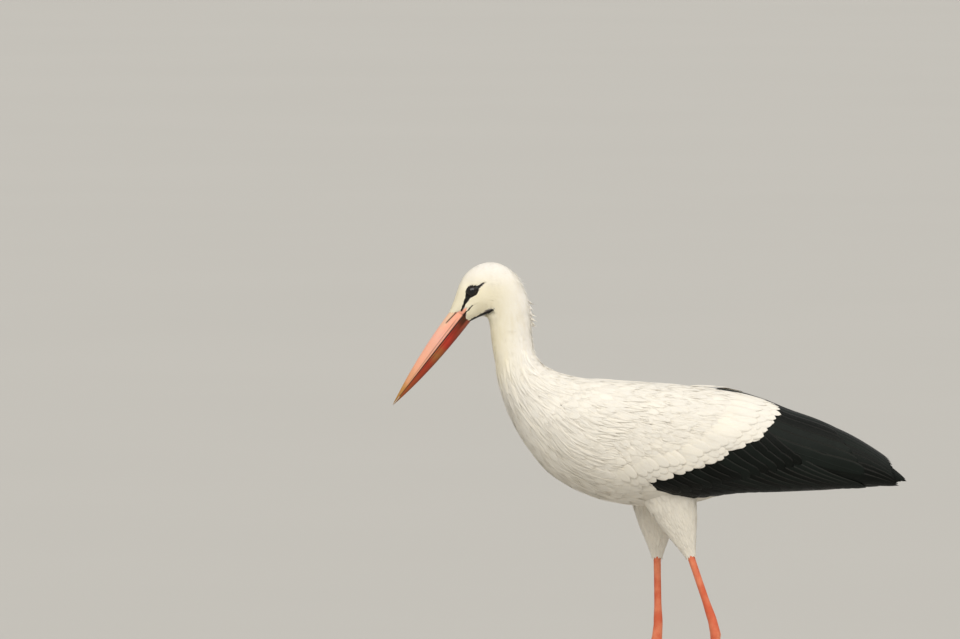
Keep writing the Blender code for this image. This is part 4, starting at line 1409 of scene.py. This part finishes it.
def wing_coats(side, white):
    """Rows of small coverts, larger to the rear, long scapulars that drape over them from the back, and
    loose barbs. Gives the coverts."""
    surface, keep = wing_surface(side), in_white(side)
    rear, sizes = (0.0, 0.15, 0.35, 0.58), (0.016, 0.024, 0.034, 0.044)
    coverts = grow_coat(
        f"wing_coverts_{side}", surface, ((0.005, 0.57), (-0.02, 1.0)), rounded, white, 10,
        spacing=(along(rear, sizes, 0.30), along(rear, sizes, 0.27)), length=along(rear, sizes),
        width=along(rear, sizes, 0.52), rows=6, columns=5, lean=0.04, clump=0.08, stray=0.07, sink=0.003,
        rise=0.0006, level=-0.0007, dome=0.0006, shake=0.00015, vary=0.12, stagger=0.3, keep=keep,
    )
    grow_coat(
        f"wing_scapulars_{side}", surface, ((0.02, 0.50), (-0.06, 0.44)), pointed, white, 11,
        spacing=(0.0150, 0.0095), length=along((0.0, 0.5), (0.046, 0.070)), width=0.0190,
        rows=8, columns=5, lean=0.03, clump=0.08, stray=0.06, sink=0.003, rise=0.0008,
        level=-0.0006, dome=0.0008, shake=0.0002, keep=keep,
    )
    grow_coat(
        f"wing_wisps_{side}", surface, ((0.01, 0.53), (-0.02, 1.0)), strand, white, 12,
        spacing=(0.0076, 0.0050), length=0.022, width=0.0030, rows=3, lean=0.04, clump=0.14,
        stray=0.14, sink=0.0015, rise=0.0009, level=-0.0002, dome=0.0004, shake=0.0003,
        stagger=0.6, vary=0.35, keep=keep,
    )
    return coverts


def white_edges(side, white):
    """Rows of feathers whose tips make the edge of the white, and on the right wing a row of shorter ones
    beside the midline, over the roots of the tertials."""
    surface = wing_surface(side)
    rng = np.random.default_rng(22)
    line = np.array(WHITE_EDGE)
    line = spots_at(np.linspace(0, 1, 300), np.linspace(0, 1, len(line)), line)
    step = np.linalg.norm(np.diff(surface(line[:, 0], line[:, 1], 0.0), axis=0), axis=-1)
    walked = np.concatenate([[0], np.cumsum(step)])
    for row, (back, reach) in enumerate(((0.000, 1.0), (0.020, 1.0), (0.044, 1.05))):
        tips = spots_at(np.arange(0.004 + 0.0045 * row, walked[-1], 0.0135), walked, line) - (back, 0.0)
        count = len(tips)
        tips = tips + np.stack([rng.uniform(-0.008, 0.006, count), rng.normal(0, 0.006, count)], -1)
        upper = soft_step(0.75, 0.35, tips[:, 1])
        length = (0.034 + 0.034 * upper) * reach * rng.uniform(0.92, 1.08, count)
        yaw = 0.05 + rng.normal(0, 0.05, count) + 0.10 * (1 - upper)
        level = 0.0002 * row + rng.normal(0, 0.0002, count)
        path = edge_row(surface, tips, length, yaw)
        kept = in_white(side)(surface, path) | (tips[:, 1] > 0.15)
        look = {"sink": 0.004, "rise": 0.0012 + 0.0005 * row, "dome": 0.0009, "level": level[kept]}
        width = 0.0195 + 0.007 * upper[kept]
        lay(f"wing_edge_{row}_{side}", surface, path[kept], width, rounded, white, columns=5, **look)
    if side == "right":
        tips = np.stack([np.interp(BACK_TIPS, *np.array(TERTIAL_EDGE).T[::-1]), BACK_TIPS], -1)
        path = edge_row(surface, tips + rng.normal(0, (0.006, 0.004), tips.shape), 0.050, 0.0)
        level = np.interp(BACK_TIPS, (-0.13, -0.08, 0.14), (0.0016, 0.0038, 0.0024))
        look = {"sink": 0.006, "rise": 0.0004, "dome": 0.0008, "level": level}
        lay("back_edge", surface, path, 0.017, rounded, white, columns=5, **look)


def fan(first, last, count):
    """Pairs of numbers in equal steps from the first to the last."""
    return np.asarray(first) + (np.asarray(last) - np.asarray(first)) * np.linspace(0, 1, count)[:, None]


def straight(roots, tips, rows, bow=0.0):
    """Spots of vanes from their roots to their tips, bowed across by b s (1 - s)."""
    share = sections(rows)[None, :, None]
    return roots[:, None] + (tips - roots)[:, None] * share + np.array((0.0, bow)) * share * (1 - share)


# A folded wing's black feathers, from those that lie lowest to those on top: how many, the first and the
# last root, the first and the last tip, the width, the first and the last level, and the outline
FLIGHT = {
    "primaries": (
        10, ((0.58, 0.84), (0.62, 0.12)), ((0.90, 0.86), (0.998, 0.50)), 0.022, (-0.0040, -0.0018), quill
    ),
    "secondaries": (
        16, ((0.27, 0.84), (0.56, 0.46)), ((0.43, 1.01), (0.86, 0.86)), 0.023, (-0.0026, -0.0014), blade
    ),
    "greater_coverts": (
        14, ((0.27, 0.82), (0.52, 0.38)), ((0.385, 0.95), (0.67, 0.60)), 0.019, (-0.0014, -0.0006), blade
    ),
    "inner_secondaries": (
        10, ((0.56, 0.52), (0.56, 0.02)), ((0.97, 0.74), (0.93, 0.06)), 0.024, (-0.0014, -0.0004), quill
    ),
    "tertials": (
        7, ((0.49, 0.44), (0.49, 0.02)), ((0.86, 0.60), (0.73, 0.06)), 0.029, (-0.0006, 0.0010), blade
    ),
}


def wing_black(side, black):
    """Black feathers of a folded wing: primaries, whose tips reach the farthest, secondaries along the
    lower edge, greater coverts over them, and tertials, which on the right wing lie uppermost."""
    surface, pieces = wing_surface(side), {}
    look = {"keel": 0.5, "soft": 0.25, "columns": 9, "bake": cells}
    for name, (count, roots, tips, width, levels, form) in FLIGHT.items():
        spots = straight(fan(*roots, count), fan(*tips, count), FLIGHT_ROWS, 0.05)
        heights = {"level": np.linspace(*levels, count), "sink": 0.003, "dome": 0.0006, "tilt": 0.0011}
        pieces[name] = lay(f"{name}_{side}", surface, spots, width, form, black, **heights, **look)
    if side == "right":
        roots, tips = fan((0.32, -0.08), (0.44, 0.12), 6), fan((0.74, -0.05), (0.80, 0.13), 6)
        heights = {"level": np.linspace(0.0036, 0.0012, 6), "sink": 0.006, "rise": -0.0024}
        heights |= {"dome": 0.0004, "tilt": 0.0004}
        spots = straight(roots, tips, FLIGHT_ROWS)
        lay("upper_tertials", surface, spots, 0.018, blade, black, **heights, **look)
    return pieces


def tail_surface(face):
    """A face of the tail: straight along it, spreading across it, and rounded off at its sides by the
    square of the way across."""
    sign, (root_x, root_z), (tip_x, tip_z) = TAIL_FACES[face]
    root, tip = np.array((root_x, 0.0, root_z)), np.array((tip_x, 0.0, tip_z))
    line = unit(tip - root)
    out = np.array((-line[2], 0.0, line[0])) * sign

    def surface(along_tail, across_tail, grow):
        along_tail, across_tail, grow = np.broadcast_arrays(along_tail, across_tail, grow)
        height = grow - 0.0025 * across_tail**2
        points = root + along_tail[..., None] * (tip - root) + height[..., None] * out
        points[..., 1] -= across_tail * (0.010 + 0.0110 * along_tail)
        return points

    return surface


def tail_feathers(white):
    """Twelve white tail feathers, the middle ones on top and longest, seen from above and from below."""
    order = np.linspace(-1, 1, 12)
    roots, tips = np.stack([0 * order, order], -1), np.stack([1 - 0.08 * order**2, order], -1)
    spots = straight(roots, tips, TAIL_ROWS)
    look = {"dome": 0.0005, "tilt": 0.0006, "level": -0.0004 - 0.0012 * np.abs(order)}
    look |= {"keel": 0.5, "soft": 0.4, "columns": 7, "bake": cells}
    for name, face in (("tail_feathers", "upper"), ("tail_underside", "under")):
        lay(name, tail_surface(face), spots, 0.0185, blade, white, **look)


# ---- floor, light and camera ----


def make_stage():
    """A wide pale floor, a soft high light, and a long lens level with the bird's back."""
    size = 400.0
    corners = np.array(((-size, -size, 0), (size, -size, 0), (size, size, 0), (-size, size, 0)), float)
    finish = Finish("floor", 0.9)
    cloud = finish.noise(finish.place(), 0.6)
    finish.colour(finish.mix(cloud, (0.450, 0.441, 0.415), (0.468, 0.458, 0.432)))
    make_piece("floor", corners, [np.array([[0, 1, 2, 3]])], finish.material, turn=False)

    scene = bpy.context.scene
    scene.world = bpy.data.worlds.new("studio")
    scene.world.use_nodes = True
    sky = scene.world.node_tree.nodes["Background"].inputs
    sky["Color"].default_value = (1.0, 0.985, 0.96, 1.0)
    sky["Strength"].default_value = 0.48
    for name, strength, spread, source in (
        ("key", 1.45, 44.0, (0.30, -0.64, 0.71)),
        ("fill", 1.45, 44.0, (-0.30, -0.74, 0.62)),
        ("rim", 0.5, 40.0, (0.78, 0.10, 0.62)),
    ):
        lamp = bpy.data.lights.new(name, "SUN")
        lamp.energy, lamp.color, lamp.angle = strength, (1.0, 0.97, 0.92), math.radians(spread)
        obj = bpy.data.objects.new(name, lamp)
        obj.rotation_euler = Vector(source).to_track_quat("Z", "Y").to_euler()
        scene.collection.objects.link(obj)

    aim, distance, rise, field = Vector((-0.260, 0.0, 0.698)), 20.0, math.radians(3.0), 1.469
    camera = bpy.data.cameras.new("camera")
    camera.sensor_width = 36.0
    camera.lens = camera.sensor_width * distance / field
    camera.clip_end = 900.0
    obj = bpy.data.objects.new("camera", camera)
    back = Vector((0.0, -math.cos(rise), math.sin(rise)))
    obj.location = aim + back * distance
    obj.rotation_euler = (-back).to_track_quat("-Z", "Y").to_euler()
    scene.collection.objects.link(obj)
    scene.camera = obj
    scene.view_settings.view_transform = "Standard"


# ---- the bird ----


def finish_piece(piece, slot, *nodes):
    """Rides a piece on the bird and says which solids it stands for. Its slot is not used."""
    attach(piece, "root")
    if nodes:
        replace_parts(piece, *nodes)


def main():
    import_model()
    make_stage()

    white = (white_plumage("plumage_white"), "plumage_white")
    black = (black_plumage("plumage_black"), "plumage_black")
    skin = make_skin(skin_finish())
    flesh = ["head", "neck_upper", "neck_middle", "neck_lower", "trunk", "tail"]
    for side in LEGS:
        flesh += [f"thigh_{side}", f"shank_{side}", f"tarsus_{side}", f"palm_{side}"]
        flesh += [f"toe_{side}_{name}" for name in TOES]
    finish_piece(skin, "leg_red", *flesh)

    # The upper half's pale ridge is a painted highlight; the lower half gets painted shade on its underside
    upper = make_bill("upper", horn_finish("bill_upper", UPPER_HORN, (0.72, 0.55, 0.37), 0.0))
    lower = make_bill("lower", horn_finish("bill_lower", LOWER_HORN_WITH_PAINTED_SHADE, (0.42, 0.09, 0.05), 0.45))
    finish_piece(upper, "bill_red", "bill_upper")
    finish_piece(lower, "bill_red", "bill_lower")
    finish_piece(make_mouth(mouth_painted_shade_finish()), "bill_red")
    eye, claw = eye_finish(), claw_finish()
    for side in LEGS:
        finish_piece(make_eye(side, eye), "eye_dark", f"eye_{side}")
        finish_piece(make_claws(side, claw), "claw_horn", *[f"claw_{side}_{name}" for name in TOES])

    for grow in (head_coats, neck_coats, breast_coats, body_coats, thigh_coats, tail_feathers):
        grow(white)
    for side in SIDES:
        wing_pads(side, white, black)
        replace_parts(wing_coats(side, white), f"wing_{side}_coverts")
        white_edges(side, white)
        flight = wing_black(side, black)
        for name in ("secondaries", "tertials", "primaries"):
            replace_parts(flight[name], f"wing_{side}_{name}")


main()
